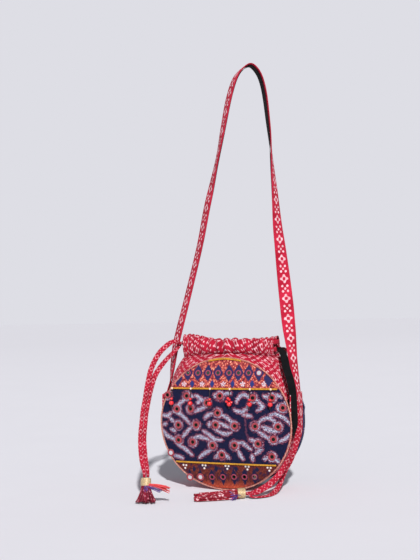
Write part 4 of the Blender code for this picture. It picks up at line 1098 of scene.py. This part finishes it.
def neck_cloth(name, node, side, seed):
    columns, neck_rows, casing_rows = 420, 26, 44
    turn = np.radians(np.linspace(-89.5, 89.5, columns))[None, :]
    climb = np.linspace(0, 0.97, neck_rows)[:, None]
    gather = pleat(turn)
    ahead = np.maximum(0.0, np.cos(turn))
    boxy = 0.5 + 0.35 * climb
    low_x = 95.5 * MM - 0.75 * MM - 0.3 * MM
    flat = np.copysign(np.abs(np.sin(turn)) ** boxy, np.sin(turn))
    x = flat * (low_x + (MOUTH_X - low_x) * climb ** 2.6)
    reach = np.minimum(1.0, np.abs(flat * low_x) / RIM_X)
    arc = RIM_MID_Z + RIM_Z * np.sqrt(1 - reach ** 2)
    low_z = np.maximum(arc, GUSSET_TOP_Z) - 8 * MM
    casing_z = CASING_Z + CASING_FOOT_RISE * ahead ** 2
    z = low_z + (casing_z - low_z) * climb
    deep = half_depth(z) - DISC_THICK - 0.6 * MM
    deep = deep + (MOUTH_Y - deep) * climb ** 1.3
    end_y = 0.15 * MM + (MOUTH_END_Y - 0.15 * MM) * climb ** 4
    y = end_y + (deep - end_y) * ahead ** boxy
    clear = np.clip((z - arc) / (6 * MM), 0, 1)
    fan = np.sin(13 * turn + seed) * 0.9 * MM * clear * (1 - climb) * ahead
    y = y + PLEAT_DEEP * climb ** 3 * gather * ahead + fan - 0.9 * MM * clear * (1 - climb) * ahead
    crease = 0.35 * MM * np.sin(58 * turn + 3 * climb + seed) * climb * clear * ahead
    neck = np.stack([x + 0 * y, -(y + crease), z + 0 * y], axis=-1)

    roll = np.radians(np.linspace(28, 332, casing_rows))[:, None]
    share = np.abs(np.sin(turn)) ** CASING_ROUND
    middle = casing_middle(share)
    gathered = gather * ahead ** CASING_ROUND
    outside = np.sin(roll) > 0
    ruffle = 0.5 * MM * np.sin(61 * turn + 2.0 * np.sin(roll) + seed) * ahead
    out = np.sin(roll) * (CASING_PUFF + PLEAT_DEEP * gathered * np.where(outside, 1.0, 0.38)) \
        + ruffle * np.abs(np.sin(roll)) * np.where(outside, 1.0, 0.3)
    raised = np.clip((-np.sin(turn) - 0.25) / 0.6, 0, 1)
    casing_top = CASING_Z + CASING_HIGH - CASING_TOP_SAG * ahead \
        + CASING_END_RISE * raised ** 2 * (3 - 2 * raised)
    cz = casing_z + (casing_top - casing_z) / 2 * (1 - np.cos(roll))
    cz = cz + PLEAT_DEEP * 0.8 * gathered * np.maximum(0.0, -np.cos(roll))
    cx = MOUTH_X * np.copysign(share, turn)
    casing = np.stack([cx + 0 * out, -(middle + out), cz + 0 * out], axis=-1)
    points = np.concatenate([neck, casing], axis=0)
    points[..., 1] *= side
    along = np.linalg.norm(np.diff(points, axis=0), axis=-1)
    rise = np.concatenate([np.zeros((1, columns)), np.cumsum(along, axis=0)], axis=0)
    spread = np.linspace(-PRINT_SPREAD, PRINT_SPREAD, columns)[None, :] * MM + 0 * rise
    mesh = cloth_mesh(name, points, np.stack([spread, rise], -1), turn=side > 0)
    made = piece(name, mesh, neck_print_shaded, [node], thick=0.5 * MM)
    return made


def held_tape(name, node, z, turn_side):
    """The stretch of drawstring inside the casings."""
    half = [(-72.5, 9.3)]
    half += [(s * 69.0, float(casing_middle(abs(s))) / MM) for s in (-0.9, -0.65, -0.3, 0.3, 0.65, 0.85)]
    turn = [(65.5 + 7 * math.cos(a), 9.3 * math.sin(a)) for a in np.linspace(math.pi / 2, -math.pi / 2, 9)]
    marks = half + turn + [(x, -y) for x, y in reversed(half)]
    line = smooth_line(np.array([(turn_side * x, y, z) for x, y in marks]) * MM, 3 * MM)
    line[:, 2] += (201.5 * MM - line[:, 2]) * np.clip(1.25 - np.abs(line[:, 0]) / (50 * MM), 0, 1) * 0.8
    across = np.broadcast_to(UP, line.shape)
    out = unit(np.cross(across, along_line(line)))
    rings, cloth, _ = ribbon(line, across, out, 6.0 * MM, 1.7 * MM, 14)
    mesh = cloth_mesh(name, rings, cloth, wrap=True, caps=True)
    return piece(name, mesh, red_plain, [node])


# bead drops

BEAD_HOLE = 0.28


def bead(name, centre, radius, material, node, body, tall=1.0):
    """A pressed glass bead: round, drawn in at its two holes."""
    bm = bmesh.new()
    bmesh.ops.create_uvsphere(bm, u_segments=32, v_segments=20, radius=radius)
    for v in bm.verts:
        level = abs(v.co.z) / radius
        v.co.z *= tall * (1 - BEAD_HOLE * max(0.0, level - 0.86) / 0.14 * 0.5)
    bmesh.ops.translate(bm, verts=bm.verts, vec=Vector(centre) + Vector(HANG))
    return piece(name, baked(bm, name), material, [node] if node else [], body)


def dress_drops():
    seed_r, small_r, large_r, long = 1.6 * MM, 2.2 * MM, 3.3 * MM, 11 * MM
    for k in range(6):
        x = (-4.0 + 30.0 * (k - 2.5)) * MM
        title, link, pendant = "drop_%d" % (k + 1), "drop_%d_link" % (k + 1), "drop_%d_pendant" % (k + 1)
        face = float(disc_y(x, UPPER_BRAID_Z)) + 2.2 * MM
        seat = np.array((x, -(face + seed_r + 0.2 * MM), UPPER_BRAID_Z))
        small_z = UPPER_BRAID_Z - seed_r - long - small_r
        large_z = small_z - small_r - large_r - 0.3 * MM
        hang_y = -(max(float(disc_y(x, large_z)), float(disc_y(x * 0.88, large_z))) + 1.2 * MM + large_r)
        foot = np.array((x, hang_y, large_z))
        down = unit(foot - seat)
        small = seat + down * (seed_r + long + small_r)
        bead(title + "_seed", seat, seed_r, seed_glass, title + "_seed_bead", link, 1.15)
        bead(title + "_small", small, small_r * 0.92, coral_glass, title + "_small_bead",
             pendant, 0.95)
        bead(title + "_large", foot, large_r * 1.03, coral_glass, title + "_large_bead",
             pendant)
        if k == 3:
            for extra, (ex, ey, ez) in enumerate(((-3.4, -1.2, 3.6), (3.5, -0.8, 2.6), (-0.6, -2.6, 8.2))):
                bead(title + "_extra_%d" % (extra + 1), foot + np.array((ex, ey, ez)) * MM, small_r * 0.95,
                     coral_glass, None, pendant, 0.95)
        t = np.linspace(0, 1, 20)[:, None]
        top = seat + down * (seed_r + 0.3 * MM)
        tail = foot + down * (large_r + 3.2 * MM)
        line = top + (tail - top) * t
        line[:, 0] += 0.12 * MM * np.sin(t[:, 0] * 26)
        piece(title + "_bead_thread", lines_curve(title + "_bead_thread", [line], 0.62 * MM, sides=2),
              bead_thread, [title + "_thread"], pendant)


# floor and light: low hard sun from the left in front, a weak soft sky, and a pale surround to look at

FLOOR_HALF = 7.0
SOFT_LIGHT = 0.27
SUN_STRENGTH, SUN_ANGLE, SUN_AIM = 3.75, math.radians(2.5), (-0.64, 1.14, -1.0)


def set_stage():
    bm = bmesh.new()
    bmesh.ops.create_grid(bm, x_segments=2, y_segments=2, size=FLOOR_HALF)
    bmesh.ops.translate(bm, verts=bm.verts, vec=(0, 0, HANG[2]))
    mesh = baked(bm, "floor")
    floor = bpy.data.objects.new("floor", mesh)
    scene.collection.objects.link(floor)
    made, tree, shader = start_material("matt pale paper sweep", 0.95, Specular_IOR_Level=0.1)
    place = (add(tree, "TexCoord"), "Object")
    grain = add(tree, "TexNoise", {"Vector": place, "Scale": 9.0})
    away = add(tree, "MapRange", (add(tree, "VectorMath LENGTH", place), "Value"), 0.8, 4.5)
    colour_with(tree, layered(tree, "#e4e3e8", (grain, "#e7e6eb"), (away, "#dfdee3")), shader)
    mesh.materials.append(made)

    world = bpy.data.worlds.new("studio")
    scene.world = world
    world.use_nodes = True
    tree = world.node_tree
    tree.nodes.clear()
    path = add(tree, "LightPath")
    seen = add(tree, "Math MAXIMUM", (path, "Is Camera Ray"), (path, "Is Glossy Ray"))
    seen = add(tree, "Math MAXIMUM", seen, (path, "Is Transmission Ray"))
    soft = add(tree, "Background", "#f4f4ff", SOFT_LIGHT)
    pale = add(tree, "Background", "#dedee5", 1.0)
    add(tree, "OutputWorld", add(tree, "MixShader", seen, soft, pale))

    key = bpy.data.lights.new("key light", "SUN")
    key.energy, key.angle = SUN_STRENGTH, SUN_ANGLE
    lamp = bpy.data.objects.new("key light", key)
    lamp.rotation_euler = Vector(SUN_AIM).to_track_quat("-Z", "Y").to_euler()
    scene.collection.objects.link(lamp)


dress_tassels()
gusset_piece, gusset_long = dress_gusset()
for band in (
        ("lower", 3.4 * MM, LOWER_BRAID_Z, 84, 300, lower_motif, rust_weave, "rust_cloth"),
        ("middle", LOWER_BRAID_Z, UPPER_BRAID_Z, 190, 330, middle_motif, navy_cloth, "navy_ikat"),
        ("upper", UPPER_BRAID_Z, 184.2 * MM, 90, 300, upper_motif, salmon_cloth, "zari_cloth")):
    front_band("front_%s_cloth" % band[0], *band[1:], "front_%s_band" % band[0])
back_cover()
dress_mirrors()
plait("upper_plait", UPPER_BRAID_Z, -1, "front_upper_braid")
plait("lower_plait", LOWER_BRAID_Z, -1, "front_lower_braid")
plait("top_plait", TOP_BRAID_Z, -1, "front_top_braid", arched=True)
plait("back_plait", BACK_BRAID_Z, 1, "back_braid")
rim_cord("front_rim_twist", -1, "front_rim_cord")
rim_cord("back_rim_twist", 1, "back_rim_cord", lipped=True)
neck_cloth("front_neck_cloth", "front_neck", 1, 0.4)
neck_cloth("back_neck_cloth", "back_neck", -1, 2.1)
held_tape("left_held_tape", "left_drawstring_held", LEFT_HELD_Z, 1)
held_tape("right_held_tape", "right_drawstring_held", RIGHT_HELD_Z, -1)
dress_strap()
dress_drops()
set_stage()
